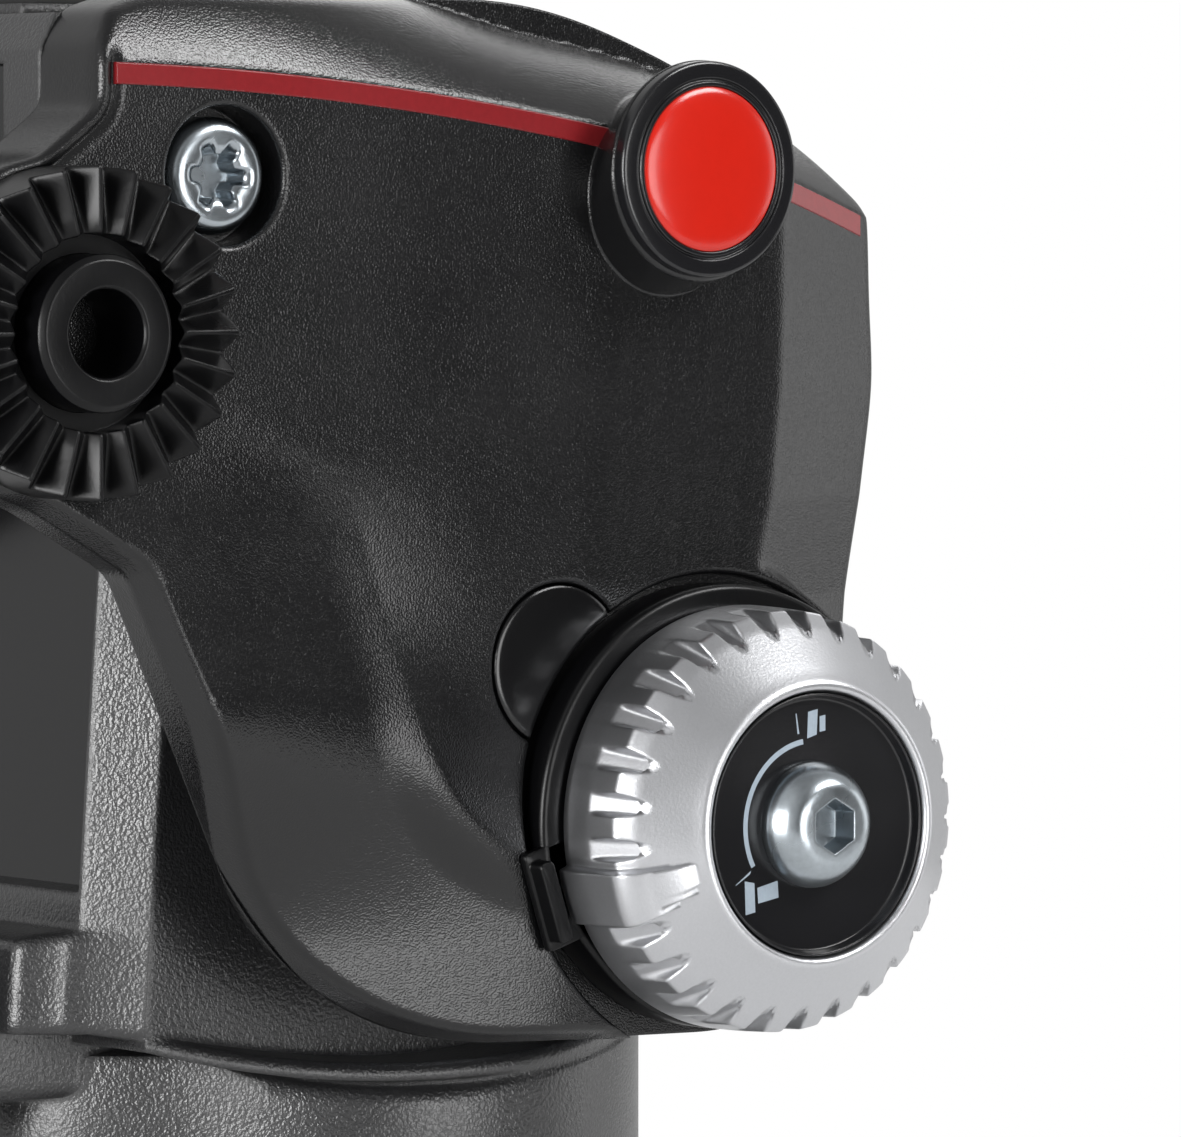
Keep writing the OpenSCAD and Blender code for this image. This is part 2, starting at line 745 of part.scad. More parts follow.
// Pan-head screw with a six-lobe socket, along X
module lobe_screw() {
    lobe_r = screw_head_r * 0.34;
    crown = crown_pts(screw_head_r, 2, 6);
    difference() {
        union() {
            xcyl(cheek_screw_d / 2, screw_end_x, screw_seat_x + over);
            translate([screw_seat_x, 0, 0]) xturn() polygon(concat(
                [[0, 0], [screw_head_r, 0]], [for (q = crown) [q[0], q[1] + screw_head_h - 2]]));
        }
        for (a = [0 : 60 : 300]) rotate([a, 0, 0]) translate([0, lobe_r * 1.1, 0])
            xcyl(lobe_r * 0.5, screw_seat_x + 1, screw_seat_x + screw_head_h + over);
        xcyl(lobe_r * 1.15, screw_seat_x + 1, screw_seat_x + screw_head_h + over);
    }
}

module right_cheek_screws() {
    color(zinc) cheek_screw_places() lobe_screw();
}

module left_cheek_screws() {
    mirror([1, 0, 0]) right_cheek_screws();
}

module right_flush_cap() {
    color(black_plastic) difference() {
        at_axis(cap) xcyl(cap_d / 2, face_x - 3, face_x);
        at_axis() xcyl(recess_r, recess_x, face_x + over);
    }
}

module left_flush_cap() {
    mirror([1, 0, 0]) right_flush_cap();
}

// Guard ring in the cheek's recess, with a stepped block under the knob's tab
module knob_guard() {
    block_w = 0.46 * guard_r;
    block_out = 0.134 * guard_r;
    block_in = 0.31 * guard_r;
    step_h = guard_x - face_x;
    color(black_plastic) at_axis() difference() {
        union() {
            xcyl(guard_r, recess_x, guard_x);
            rotate([tab_angle, 0, 0]) {
                box([face_x + flank_h, guard_r - block_in, -block_w / 2],
                    [guard_x, guard_r + block_out, block_w / 2]);
                box([guard_x - slack, guard_r + 2 * free / 3, -0.4 * block_w],
                    [guard_x + step_h, guard_r + 0.92 * block_out, 0.4 * block_w]);
            }
        }
        xcyl(axle_bush_r, recess_x - over, guard_x + over);
    }
}

hub_pcd_r = 0.72 * guard_r;
hub_dish_r = 0.46 * guard_r;
hub_screw_r = 1.5;
hub_x = face_x + 1.6;
module hub_screw_shapes() {
    at_axis() for (a = [90, 210, 330]) rotate([a, 0, 0]) translate([0, hub_pcd_r, 0]) xturn() polygon([
        [0, face_x - cheek_t / 1.5], [hub_screw_r, face_x - cheek_t / 1.5], [hub_screw_r, hub_x - 1.5],
        [hub_screw_r * 2, hub_x - 0.2], [0, hub_x - 0.2]]);
}

module left_hub_cover() {
    color(black_plastic) mirror([1, 0, 0]) difference() {
        at_axis() xturn() polygon([
            [0, recess_x], [guard_r, recess_x], [guard_r, hub_x - 1], [guard_r - 1, hub_x],
            [hub_dish_r + 1, hub_x], [hub_dish_r, hub_x - 0.8], [0, hub_x - 0.8]]);
        hub_screw_shapes();
    }
}

module hub_cover_screws() {
    color(zinc) mirror([1, 0, 0]) hub_screw_shapes();
}

module axle_bush_right() {
    color(brass) at_axis() difference() {
        xcyl(axle_bush_r, inner_x, recess_x);
        xcyl(axle_r + run, inner_x - over, recess_x + over);
    }
}

module axle_bush_left() {
    mirror([1, 0, 0]) axle_bush_right();
}

module drag_housing_right() {
    color(steel) at_axis() difference() {
        xcyl(disc_d / 2 + 1, stem_x + disc_t + free, inner_x);
        xcyl(axle_r + run, stem_x, inner_x + over);
    }
}

module drag_housing_left() {
    mirror([1, 0, 0]) drag_housing_right();
}

// Tilt body: platform, hood and level

// Dovetail jaw in the front view: foot at the plate, leaning in over it
module jaw_profile(back) {
    foot = plate_w / 2 + free;
    polygon([
        [back, plate_z], [foot, plate_z], [foot, plate_z + jaw_low], [foot - jaw_slope, plate_z + jaw_mid],
        [foot - jaw_slope, plate_z + jaw_h], [back, plate_z + jaw_h]]);
}

module platform_side() {
    polygon([
        [rear_y, skirt_z], [rear_y + rear_wall_t, skirt_z], [rear_y + rear_wall_t, plate_z - 2 * floor_t],
        [rear_y + 2 * rear_wall_t, plate_z - floor_t], [hood_y, plate_z - floor_t], [hood_y, plate_z],
        [rear_y + rear_wall_t, plate_z], [rear_y + rear_wall_t, shoulder_z - rear_wall_t / 2],
        [rear_y + rear_wall_t / 2, shoulder_z - rear_wall_t / 2],
        [rear_y, shoulder_z - 1.5 * rear_wall_t]]);
}

skirt_z = shoulder_z - 0.27 * rise;
panel_w = 2 * inner_x - 11.4;
panel_z1 = shoulder_z - 1.9 * rear_wall_t;
panel_t = 1.3;
module top_platform() {
    color(powder_coat) difference() {
        union() {
            side_prism(-inner_x, inner_x) platform_side();
            front_prism(rear_y + rear_wall_t, hood_y) jaw_profile(inner_x);
            mirror([1, 0, 0]) {
                front_prism(rear_y + rear_wall_t, cam_y0) jaw_profile(inner_x);
                front_prism(cam_y1, hood_y) jaw_profile(inner_x);
            }
            for (side = [0, 1]) mirror([side, 0, 0]) {
                cheek_screw_places() xcyl(screw_boss_r, screw_end_x, inner_x);
                box([screw_end_x, hood_y - 2 * screw_boss_r, tilt_z + badge[1] - floor_t / 2],
                    [inner_x, tilt_y + badge[0], plate_z - floor_t]);
                box([screw_end_x, tilt_y + rear_screw[0] - screw_boss_r / 2, tilt_z + rear_screw[1]],
                    [inner_x, tilt_y + rear_screw[0] + screw_boss_r / 2, plate_z - floor_t / 2]);
            }
        }
        for (side = [0, 1]) mirror([side, 0, 0]) cheek_screw_places()
            xcyl(cheek_screw_d / 2, screw_end_x - over, inner_x + over);
        box([-panel_w / 2 - slack, rear_y - over, 0],
            [panel_w / 2 + slack, rear_y + panel_t, panel_z1 + slack]);
        translate([button_at[0], button_at[1], plate_z - floor_t + 0.8])
            cylinder(r = button_r + run, h = 20);
    }
}

module rear_panel() {
    color(black_plastic) box([-panel_w / 2, rear_y + 0.2, skirt_z + panel_t],
        [panel_w / 2, rear_y + panel_t, panel_z1]);
}

// Hood: a bent sheet under the front slope of the shoulders, with a cup for the level
hood_t = 3;
hood_drop = 0.9;
hood_low = 0.54 * rise;
level = [-12, hood_y + 9];
level_r = 6.5;
level_z = shoulder_z - 2.6;
module hood_side() {
    start = hood_y - tilt_y;
    front = brow[0];
    outer = [
        [front, hood_low], [front, brow[1] - 0.12 * rise], brow - [hood_drop / 2, 1.5 * hood_drop],
        slope_mid - [0, hood_drop], slope_top - [0, hood_drop], [start, slope_top[1] + 2 * hood_drop]];
    inner = [
        [start, plate_z - floor_t - tilt_z], slope_top - [0, 1.5 * hood_t],
        slope_mid - [hood_t, 1.5 * hood_t], brow - [1.2 * hood_t, 1.5 * hood_t],
        [front - hood_t, hood_low]];
    translate([tilt_y, tilt_z]) polygon(concat(outer, inner));
}

module front_hood() {
    color(black_plastic) difference() {
        union() {
            side_prism(-inner_x, inner_x) hood_side();
            translate([level[0], level[1], plate_z - floor_t])
                cylinder(r = level_r + 1.6, h = level_z - plate_z + floor_t);
        }
        translate([level[0], level[1], level_z - 5]) cylinder(r = level_r + slack, h = 10);
        for (side = [0, 1]) mirror([side, 0, 0]) at_axis(badge)
            xcyl(screw_boss_r, screw_end_x, inner_x + over);
    }
}

module level_vial() {
    depth = 5;
    crown = crown_pts(level_r, 0.8, 6);
    color([0.7, 0.85, 0.3]) translate([level[0], level[1], level_z - depth]) rotate_extrude()
        polygon(concat(
        [[0, 0], [level_r, 0]], [for (q = crown) [q[0], q[1] + depth]]));
}

// Tilt knob

knob_screw_r = 3;
module tilt_knob() {
    r = knob_d / 2;
    lip_r = lip_d / 2;
    shoulder_x = knob_x0 + 0.54 * (knob_x1 - knob_x0);
    scoop_r = 1.05;
    color(satin_silver) at_axis() difference() {
        union() {
            xturn() polygon([
                [tail_d / 2 + run, knob_x0], [r - 0.6, knob_x0], [r, knob_x0 + 0.6], [r, shoulder_x],
                [r - 1, shoulder_x + 1.2], [lip_r + 0.8, knob_x1 - 0.4], [lip_r, knob_x1],
                [lip_r - 0.5, knob_x1 - 0.4],
                [lip_r - 0.5, knob_disc_x], [tail_d / 2 + run, knob_disc_x]]);
            rotate([tab_angle, 0, 0]) side_prism(guard_x + 2 + free, shoulder_x + 1.8) polygon([
                [r - 3, -2.6], [r + 2.4, -2.2], [r + 2.4, 2.2], [r - 3, 2.6]]);
            rotate([tab_angle, 0, 0]) side_prism(shoulder_x, shoulder_x + 3.4) polygon([
                [lip_r + 1, -1.6], [r - 0.5, -2.4], [r - 0.5, 2.4], [lip_r + 1, 1.6]]);
        }
        for (i = [1 : scoops - 1]) rotate([tab_angle + i * 360 / scoops, 0, 0])
            translate([shoulder_x + 0.4, r + 0.1, 0]) rotate([0, 0, 38]) xcyl(scoop_r, -2.6, 3.4);
    }
}

module tilt_knob_disc() {
    color(rubber_black) at_axis() difference() {
        xcyl(lip_d / 2 - 0.6, knob_disc_x, knob_disc_x + 0.6);
        xcyl(knob_screw_r, knob_disc_x - over, knob_disc_x + over);
    }
}

// Button-head screw with a hexagon socket
module tilt_knob_screw() {
    head_x = knob_disc_x + 0.6;
    head_h = 3.3;
    bite = 2.33 * knob_screw_r;
    rim = 0.4;
    crown = crown_pts(knob_head_d / 2, head_h - rim, 8);
    color(zinc) at_axis() difference() {
        xturn() polygon(concat(
            [[0, tail_end - bite], [knob_screw_r, tail_end - bite], [knob_screw_r, head_x],
            [knob_head_d / 2, head_x]],
            [for (q = crown) [q[0], head_x + rim + q[1]]]));
        translate([head_x + 1, 0, 0]) rotate([0, 90, 0]) cylinder(r = 2.31, h = head_h, $fn = 6);
    }
}

// Clamp

pin_r = 2;
module lever_pin() {
    color(steel) translate([lever_pivot[0], lever_pivot[1], notch_z - 3])
        cylinder(r = pin_r, h = lever_z1 - notch_z + 2);
}

// Lever: a tapering arm from the pivot to the rear, with a cam nose that reaches in to the plate's edge
module clamp_lever() {
    hub_r = 4.2;
    tip_r = 3;
    color(black_plastic) difference() {
        translate([0, 0, lever_z0]) {
            linear_extrude(lever_z1 - lever_z0) {
                translate(lever_pivot) circle(r = hub_r);
                translate(lever_tip) circle(r = tip_r);
                polygon([
                    lever_pivot + [-hub_r, 0], lever_tip + [-tip_r, 0], lever_tip + [tip_r, 0],
                    lever_pivot + [hub_r, 0]]);
            }
            linear_extrude(jaw_low) translate(lever_pivot) polygon([
                [0, hub_r - 0.1], [-cam_reach - 2.4, 2.4], [-cam_reach, 0], [-cam_reach, -2],
                [0, -hub_r + 0.1]]);
        }
        translate([lever_pivot[0], lever_pivot[1], lever_z0 - over])
            cylinder(r = pin_r + run, h = lever_z1);
    }
}

button_r = 2;
button_at = [-inner_x + 3.4, plate_rear + 2.6];
module safety_button() {
    color(brass) translate([button_at[0], button_at[1], plate_z]) cylinder(r = button_r, h = jaw_h + 2.4);
}

// Camera plate

module plate_profile() {
    w = plate_w / 2;
    polygon([
        [-w, plate_z], [w, plate_z], [w, plate_z + jaw_low], [w - jaw_slope, plate_z + jaw_mid],
        [w - jaw_slope, plate_z + plate_t], [-w + jaw_slope, plate_z + plate_t],
        [-w + jaw_slope, plate_z + jaw_mid],
        [-w, plate_z + jaw_low]]);
}

screw_disc_r = 7.5;
screw_disc_h = 2.2;
neck_r = camera_screw_d / 2 - 0.2;
thread_z = plate_z + plate_t + pad_h + slack;
module camera_plate() {
    color(rubber_black) difference() {
        front_prism(plate_rear, plate_front) plate_profile();
        translate([0, plate_mid, plate_z - over])
            cylinder(r = screw_disc_r + 0.5, h = screw_disc_h + 0.6 + over);
        translate([0, plate_mid, plate_z]) cylinder(r = neck_r + run, h = plate_t + over);
    }
}

module plate_pad() {
    pad_in = 2;
    half = plate_w / 2 - jaw_slope - pad_in / 2;
    color(rubber_black) difference() {
        box([-half, plate_rear + pad_in, plate_z + plate_t],
            [half, plate_front - pad_in, plate_z + plate_t + pad_h]);
        translate([0, plate_mid, plate_z])
            cylinder(r = camera_screw_d / 2 + free, h = plate_t + pad_h + over);
    }
}

module camera_screw() {
    color(zinc) translate([0, plate_mid, 0]) difference() {
        rotate_extrude() polygon([
            [0, plate_z + free], [screw_disc_r, plate_z + free],
            [screw_disc_r, plate_z + screw_disc_h + free],
            [neck_r, plate_z + screw_disc_h + free], [neck_r, thread_z], [camera_screw_d / 2, thread_z],
            [camera_screw_d / 2, thread_z + camera_screw_len - 0.6],
            [camera_screw_d / 2 - 0.6, thread_z + camera_screw_len], [0, thread_z + camera_screw_len]]);
        box([-screw_disc_r - over, -0.8, plate_z], [screw_disc_r + over, 0.8, plate_z + free + 1]);
    }
}

base_plate();
base_pad();
thread_insert();
pan_spindle();
flange_screws();
pan_scale_ring();
thrust_washer();
retaining_ring();
stem_casting();
stem_rear_cover();
pan_bush_lower();
pan_bush_upper();
brake_slug();
tilt_axle();
axle_grub_screw();
friction_disc_right();
friction_disc_left();
pan_knob();
pan_knob_screw();
pan_knob_cap();
right_cheek();
left_cheek();
top_platform();
front_hood();
rear_panel();
right_stripe();
left_stripe();
right_badge_ring();
left_badge_ring();
right_badge_dome();
left_badge_dome();
right_rosette();
left_rosette();
right_rosette_bush();
left_rosette_bush();
right_cheek_screws();
left_cheek_screws();
right_flush_cap();
left_flush_cap();
knob_guard();
left_hub_cover();
hub_cover_screws();
axle_bush_right();
axle_bush_left();
drag_housing_right();
drag_housing_left();
level_vial();
lever_pin();
tilt_knob();
tilt_knob_disc();
tilt_knob_screw();
clamp_lever();
safety_button();
camera_plate();
plate_pad();
camera_screw();
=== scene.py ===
"""Looks of a two-way pan tilt head: moulded cheeks on a cast stem, a silver drag knob and toothed rosettes.

Lengths in this script are millimetres in the part's frame; points are turned to metres when a mesh is made.
Side-view points (a, b) are measured from the tilt axis: a to the front, b up.
"""
import json
import math

import bmesh
import bpy
import numpy as np
from mathutils import Matrix
from mathutils.geometry import delaunay_2d_cdt


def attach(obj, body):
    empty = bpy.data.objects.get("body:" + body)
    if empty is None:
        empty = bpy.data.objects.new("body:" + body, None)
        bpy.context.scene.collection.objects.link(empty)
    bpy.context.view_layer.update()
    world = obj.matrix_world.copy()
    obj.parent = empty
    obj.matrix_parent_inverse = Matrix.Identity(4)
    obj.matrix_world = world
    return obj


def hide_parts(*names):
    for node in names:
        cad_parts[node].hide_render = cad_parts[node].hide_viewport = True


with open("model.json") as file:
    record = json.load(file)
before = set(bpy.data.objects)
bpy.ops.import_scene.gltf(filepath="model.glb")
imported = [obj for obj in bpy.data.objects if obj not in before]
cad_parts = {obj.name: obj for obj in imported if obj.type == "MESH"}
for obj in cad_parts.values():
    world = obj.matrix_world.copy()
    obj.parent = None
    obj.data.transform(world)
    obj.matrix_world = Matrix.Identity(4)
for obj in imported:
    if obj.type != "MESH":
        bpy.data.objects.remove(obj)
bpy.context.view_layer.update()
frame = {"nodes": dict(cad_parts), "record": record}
CAD = frame["nodes"]

MM = 0.001
TAU = 2 * math.pi

# Main sizes, as in the part's source
AXIS = np.array([14.0, 60.0])
FACE_X, INNER_X = 36.0, 27.0
REACH_FRONT, REACH_REAR, RISE, LOW_R = 22.2, 61.0, 68.0, 18.4
LUG, LUG_R = np.array([-65.0, 41.0]), 14.0
HEEL, HEEL_R, HEEL_TURN, HEEL_RUN = np.array([-22.0, 10.9]), 29.0, math.radians(204), 24.5
STRIPE_C, STRIPE_R, STRIPE_H = np.array([-67.0, -247.2]), 309.7, 1.75
BADGE, CAP, SCREW = np.array([-5.2, 54.0]), np.array([-16.0, 13.0]), np.array([-49.2, 53.4])
RECESS_R, RECESS_X, CAP_R, SEAT_R, SEAT_X = 20.2, 34.0, 6.7, 5.65, 32.0

# Camera, as solved from the photograph: pixels, degrees and millimetres
PHOTO_WIDE, FOCAL_PX, SENSOR = 1181, 8500, 36.0
CAMERA_ROUND, CAMERA_UP = 53.8, 2.5
CAMERA_AT = np.array([603.11, -414.07, 111.67])

# Stage, in metres, and the brightness of its dark side
LAMP_AIM = np.array([0.02, -0.01, 0.08])
DARK_ROOM = 0.02
FLOOR_HALF, FLOOR_DROP = 0.3, 0.0002
FADE_START, FADE_END = 0.1, 0.26


# Camera and stage

def place_camera():
    """Long lens at the rear right of the head, a little above it; returns the way from head to camera."""
    camera = bpy.data.objects.new("camera", bpy.data.cameras.new("camera"))
    bpy.context.scene.collection.objects.link(camera)
    camera.data.sensor_fit = "HORIZONTAL"
    camera.data.sensor_width = SENSOR
    camera.data.lens = SENSOR * FOCAL_PX / PHOTO_WIDE
    camera.data.clip_start = 0.01
    az, el = math.radians(CAMERA_ROUND), math.radians(CAMERA_UP)
    out = np.array([math.sin(az) * math.cos(el), -math.cos(az) * math.cos(el), math.sin(el)])
    right = np.array([math.cos(az), math.sin(az), 0.0])
    camera.matrix_world = stand(right, np.cross(out, right), out, CAMERA_AT * MM)
    bpy.context.scene.camera = camera
    return out


def stand(x, y, z, place):
    """Matrix of an object at a place, with its own three directions."""
    turn = np.eye(4)
    turn[:3] = np.stack([x, y, z, place], -1)
    return Matrix(turn.tolist())


def linear(hex_colour):
    """sRGB hex value to a linear colour with alpha."""
    srgb = np.array([int(hex_colour[i:i + 2], 16) for i in (1, 3, 5)]) / 255
    lin = np.where(srgb <= 0.04045, srgb / 12.92, ((srgb + 0.055) / 1.055) ** 2.4)
    return (*lin.tolist(), 1.0)


def add(tree, kind, inputs=None, **settings):
    """Adds one node with its settings; inputs are values, or outputs of other nodes to link."""
    node = tree.nodes.new(kind)
    for key, value in settings.items():
        setattr(node, key, value)
    for key, value in (inputs or {}).items():
        if isinstance(value, bpy.types.NodeSocket):
            tree.links.new(value, node.inputs[key])
        else:
            node.inputs[key].default_value = value
    return node


def soft_box(name, place, size, power):
    """Rectangular lamp at a place, turned to the head; metres and watts."""
    lamp = bpy.data.lights.new(name, "AREA")
    lamp.shape = "RECTANGLE"
    lamp.size, lamp.size_y = size
    lamp.energy = power
    box = bpy.data.objects.new(name, lamp)
    bpy.context.scene.collection.objects.link(box)
    z = np.array(place) - LAMP_AIM
    z /= np.linalg.norm(z)
    x = np.cross([0, 0, 1], z)
    x /= np.linalg.norm(x)
    box.matrix_world = stand(x, np.cross(z, x), z, place)


def light_studio(out):
    """White backdrop for the camera; a dark room with a grey wall behind the head, one at its rear and a dim
    ceiling for the light, and soft boxes around the head."""
    scene = bpy.context.scene
    scene.view_settings.view_transform = "Standard"
    world = bpy.data.worlds.new("studio")
    scene.world = world
    world.use_nodes = True
    tree = world.node_tree
    tree.nodes.clear()
    ray = add(tree, "ShaderNodeTexCoord")

    def wall(way, start, end, bright):
        """Wall of the room: brightness rises, eased, as a ray turns to the wall's way."""
        facing = add(tree, "ShaderNodeVectorMath", {0: ray.outputs["Generated"], 1: way},
                     operation="DOT_PRODUCT")
        return add(tree, "ShaderNodeMapRange", {
            "Value": facing.outputs["Value"], "From Min": start, "From Max": end, "To Min": DARK_ROOM,
            "To Max": bright}, interpolation_type="SMOOTHSTEP")

    behind = wall((-out).tolist(), 0.0, 0.75, 0.55)
    rear = wall((0.0, -1.0, 0.1), 0.2, 0.9, 0.6)
    ceiling = wall((0, 0, 1), 0.2, 0.9, 0.3)
    room = add(tree, "ShaderNodeMath", {0: behind.outputs["Result"], 1: rear.outputs["Result"]})
    room = add(tree, "ShaderNodeMath", {0: room.outputs["Value"], 1: ceiling.outputs["Result"]})
    path = add(tree, "ShaderNodeLightPath")
    seen = add(tree, "ShaderNodeMath", {
        0: path.outputs["Is Camera Ray"], 1: path.outputs["Is Transmission Ray"]}, operation="MAXIMUM")
    strength = add(tree, "ShaderNodeMath", {0: room.outputs["Value"], 1: seen.outputs["Value"]},
                   operation="MAXIMUM")
    sky = add(tree, "ShaderNodeBackground", {"Color": (1, 1, 1, 1), "Strength": strength.outputs["Value"]})
    add(tree, "ShaderNodeOutputWorld", {"Surface": sky.outputs["Background"]})
    soft_box("rear_box", (0.175, -0.59, 0.12), (0.28, 0.28), 3.9)
    soft_box("right_box", (1.21, 0.136, 0.08), (0.56, 0.56), 5.8)
    soft_box("top_box", (0.42, 0.305, 0.475), (0.28, 0.17), 2.7)
    soft_box("back_box", (-0.296, 0.367, 0.424), (0.28, 0.28), 0.4)
    soft_box("front_box", (0.225, 0.552, 0.12), (0.28, 0.28), 0.4)


def lay_floor():
    """Pale floor that keeps the head's shadow and fades to the white backdrop away from it."""
    mesh = bpy.data.meshes.new("floor")
    h = FLOOR_HALF
    mesh.from_pydata([(-h, -h, 0), (h, -h, 0), (h, h, 0), (-h, h, 0)], [], [(0, 1, 2, 3)])
    floor = bpy.data.objects.new("floor", mesh)
    bpy.context.scene.collection.objects.link(floor)
    floor.location.z = -FLOOR_DROP
    paper = bpy.data.materials.new("white studio paper")
    paper.use_nodes = True
    tree = paper.node_tree
    tree.nodes.clear()
    place = add(tree, "ShaderNodeTexCoord")
    reach = add(tree, "ShaderNodeVectorMath", {0: place.outputs["Object"]}, operation="LENGTH")
    fade = add(tree, "ShaderNodeMapRange", {
        "Value": reach.outputs["Value"], "From Min": FADE_START, "From Max": FADE_END},
        interpolation_type="SMOOTHSTEP")
    path = add(tree, "ShaderNodeLightPath")
    share = add(tree, "ShaderNodeMath", {0: fade.outputs["Result"], 1: path.outputs["Is Camera Ray"]},
                operation="MULTIPLY")
    matt = add(tree, "ShaderNodeBsdfDiffuse", {"Color": linear("#e4e4e4")})
    white = add(tree, "ShaderNodeEmission", {"Color": (1, 1, 1, 1), "Strength": 1.0})
    mix = add(tree, "ShaderNodeMixShader", {0: share.outputs["Value"], 1: matt.outputs["BSDF"],
                                            2: white.outputs["Emission"]})
    add(tree, "ShaderNodeOutputMaterial", {"Surface": mix.outputs["Shader"]})
    mesh.materials.append(paper)


# Materials

# Width of the soft clouds in every finish
CLOUD_MM = 9


def finish_of(name, colour, metallic, roughness, ior=1.5, grain_mm=0.4, grain_depth_mm=0.02, grain_detail=2.0,
              rough_vary=0.1, colour_vary=0.15, edge_mm=0.3, coat=0.0):
    """Moulded, cast or turned surface: noise of one real grain size drives the bump and a slight change of
    colour, wide soft clouds drive the roughness, and edges are eased by a small radius."""
    material = bpy.data.materials.new(name)
    material.use_nodes = True
    tree = material.node_tree
    tree.nodes.clear()
    place = add(tree, "ShaderNodeTexCoord")
    grain = add(tree, "ShaderNodeTexNoise", {
        "Vector": place.outputs["Object"], "Scale": 0.5 / (grain_mm * MM), "Detail": grain_detail,
        "Roughness": 0.6})
    cloud = add(tree, "ShaderNodeTexNoise", {
        "Vector": place.outputs["Object"], "Scale": 0.5 / (CLOUD_MM * MM), "Detail": 3.0, "Roughness": 0.55})
    edges = add(tree, "ShaderNodeBevel", {"Radius": edge_mm * MM}, samples=6)
    bump = add(tree, "ShaderNodeBump", {
        "Height": grain.outputs["Fac"], "Distance": grain_depth_mm * MM, "Strength": 1.0,
        "Normal": edges.outputs["Normal"]})
    rough = add(tree, "ShaderNodeMapRange", {
        "Value": cloud.outputs["Fac"], "From Min": 0.3, "From Max": 0.7, "To Min": roughness - rough_vary,
        "To Max": roughness + rough_vary})
    base = linear(colour)
    dark = tuple(c * (1 - colour_vary) for c in base[:3]) + (1.0,)
    light = tuple(min(1.0, c * (1 + colour_vary)) for c in base[:3]) + (1.0,)
    tint = add(tree, "ShaderNodeMix", {"Factor": grain.outputs["Fac"], 6: dark, 7: light}, data_type="RGBA")
    body = add(tree, "ShaderNodeBsdfPrincipled", {
        "Base Color": tint.outputs[2], "Metallic": metallic, "Roughness": rough.outputs["Result"],
        "IOR": ior, "Coat Weight": coat, "Coat Roughness": roughness, "Normal": bump.outputs["Normal"]})
    add(tree, "ShaderNodeOutputMaterial", {"Surface": body.outputs["BSDF"]})
    return material


# Spark-eroded moulded polyamide: near black with a fine grain that sparkles in raking light
GRAINED = finish_of("grained polyamide", "#0d0d0e", 0.0, 0.23, grain_mm=0.085, grain_depth_mm=0.035,
                    grain_detail=0.5, rough_vary=0.03, colour_vary=0.3, edge_mm=0.35)
# Polished-tool ABS: smooth satin black with faint flow marks
SMOOTH = finish_of("satin ABS", "#0b0b0c", 0.0, 0.16, rough_vary=0.03, grain_mm=0.25, grain_depth_mm=0.004,
                   edge_mm=0.25)
# Matt-tool polyamide: deep black that gives back little light
MATT = finish_of("matt black polyamide", "#050506", 0.0, 0.3, ior=1.33, grain_mm=0.2, grain_depth_mm=0.008,
                 rough_vary=0.04, edge_mm=0.2)
# Wrinkle powder coat on die-cast aluminium: dark grey, rounded pebbles a third of a millimetre across
COATED = finish_of("wrinkle powder coat", "#1c1c1d", 0.0, 0.33, ior=1.6, grain_mm=0.16, grain_depth_mm=0.1,
                   grain_detail=1.0, edge_mm=0.9, coat=0.35)
# Satin chrome on a moulded knob: even silver with a very fine flake
SILVER = finish_of("satin chrome", "#c4c5c8", 1.0, 0.34, grain_mm=0.12, grain_depth_mm=0.012, rough_vary=0.05,
                   colour_vary=0.06, edge_mm=0.3)
# Bright zinc plate on steel: bluish white with cloudy patches
ZINC = finish_of("bright zinc plate", "#a6adb2", 1.0, 0.25, grain_mm=0.3, grain_depth_mm=0.004, edge_mm=0.15)
# Machined steel: grey with fine tool marks
STEEL = finish_of("machined steel", "#8d9094", 1.0, 0.34, grain_mm=0.3, grain_depth_mm=0.005, edge_mm=0.2)
# Machined brass: yellow metal, slightly dulled
BRASS = finish_of("machined brass", "#b08d48", 1.0, 0.32, grain_mm=0.3, grain_depth_mm=0.005, edge_mm=0.2)
# Domed resin over red print: deep gloss
RED_RESIN = finish_of("red domed resin", "#b41a0c", 0.0, 0.2, grain_mm=0.5, grain_depth_mm=0.001,
                      rough_vary=0.02, colour_vary=0.05, edge_mm=0.2)
# Red print in a moulded groove: satin
RED_PRINT = finish_of("red satin print", "#76191d", 0.0, 0.22, grain_mm=0.3, grain_depth_mm=0.006,
                      rough_vary=0.03, edge_mm=0.1)
# Black label film: flat satin
FILM = finish_of("black label film", "#121214", 0.0, 0.2, rough_vary=0.03, grain_mm=0.2, grain_depth_mm=0.004,
                 edge_mm=0.15)
# Moulded rubber: matt black with a slight bloom
RUBBER = finish_of("moulded rubber", "#1a1a1a", 0.0, 0.75, grain_mm=0.5, grain_depth_mm=0.02, edge_mm=0.3)
# Tinted acrylic of a level vial: clear yellow-green gloss
ACRYLIC = finish_of("level vial acrylic", "#b9cf4a", 0.0, 0.08, grain_mm=0.6, grain_depth_mm=0.001, coat=1.0)
# Grey pad print on the knob's disc: flat
INK = finish_of("grey pad print", "#8e9aa5", 0.0, 0.5, grain_mm=0.2, grain_depth_mm=0.002, edge_mm=0.05)

SLOT_FINISH = {
    "cheek_plastic": GRAINED, "smooth_plastic": SMOOTH, "powder_coat": COATED, "satin_silver": SILVER,
    "zinc_steel": ZINC, "steel": STEEL, "brass": BRASS, "red_gloss": RED_RESIN, "red_stripe": RED_PRINT,
    "disc_black": FILM, "pad_rubber": RUBBER, "plate_coat": COATED, "vial_glass": ACRYLIC,
}


def dress_cad():
    """Every CAD node takes the finish of its material slot."""
    for part in frame["record"]["subparts"]:
        mesh = CAD[part["node"]].data
        mesh.materials.clear()
        mesh.materials.append(SLOT_FINISH[part["material_slot"]])


# Shape helpers

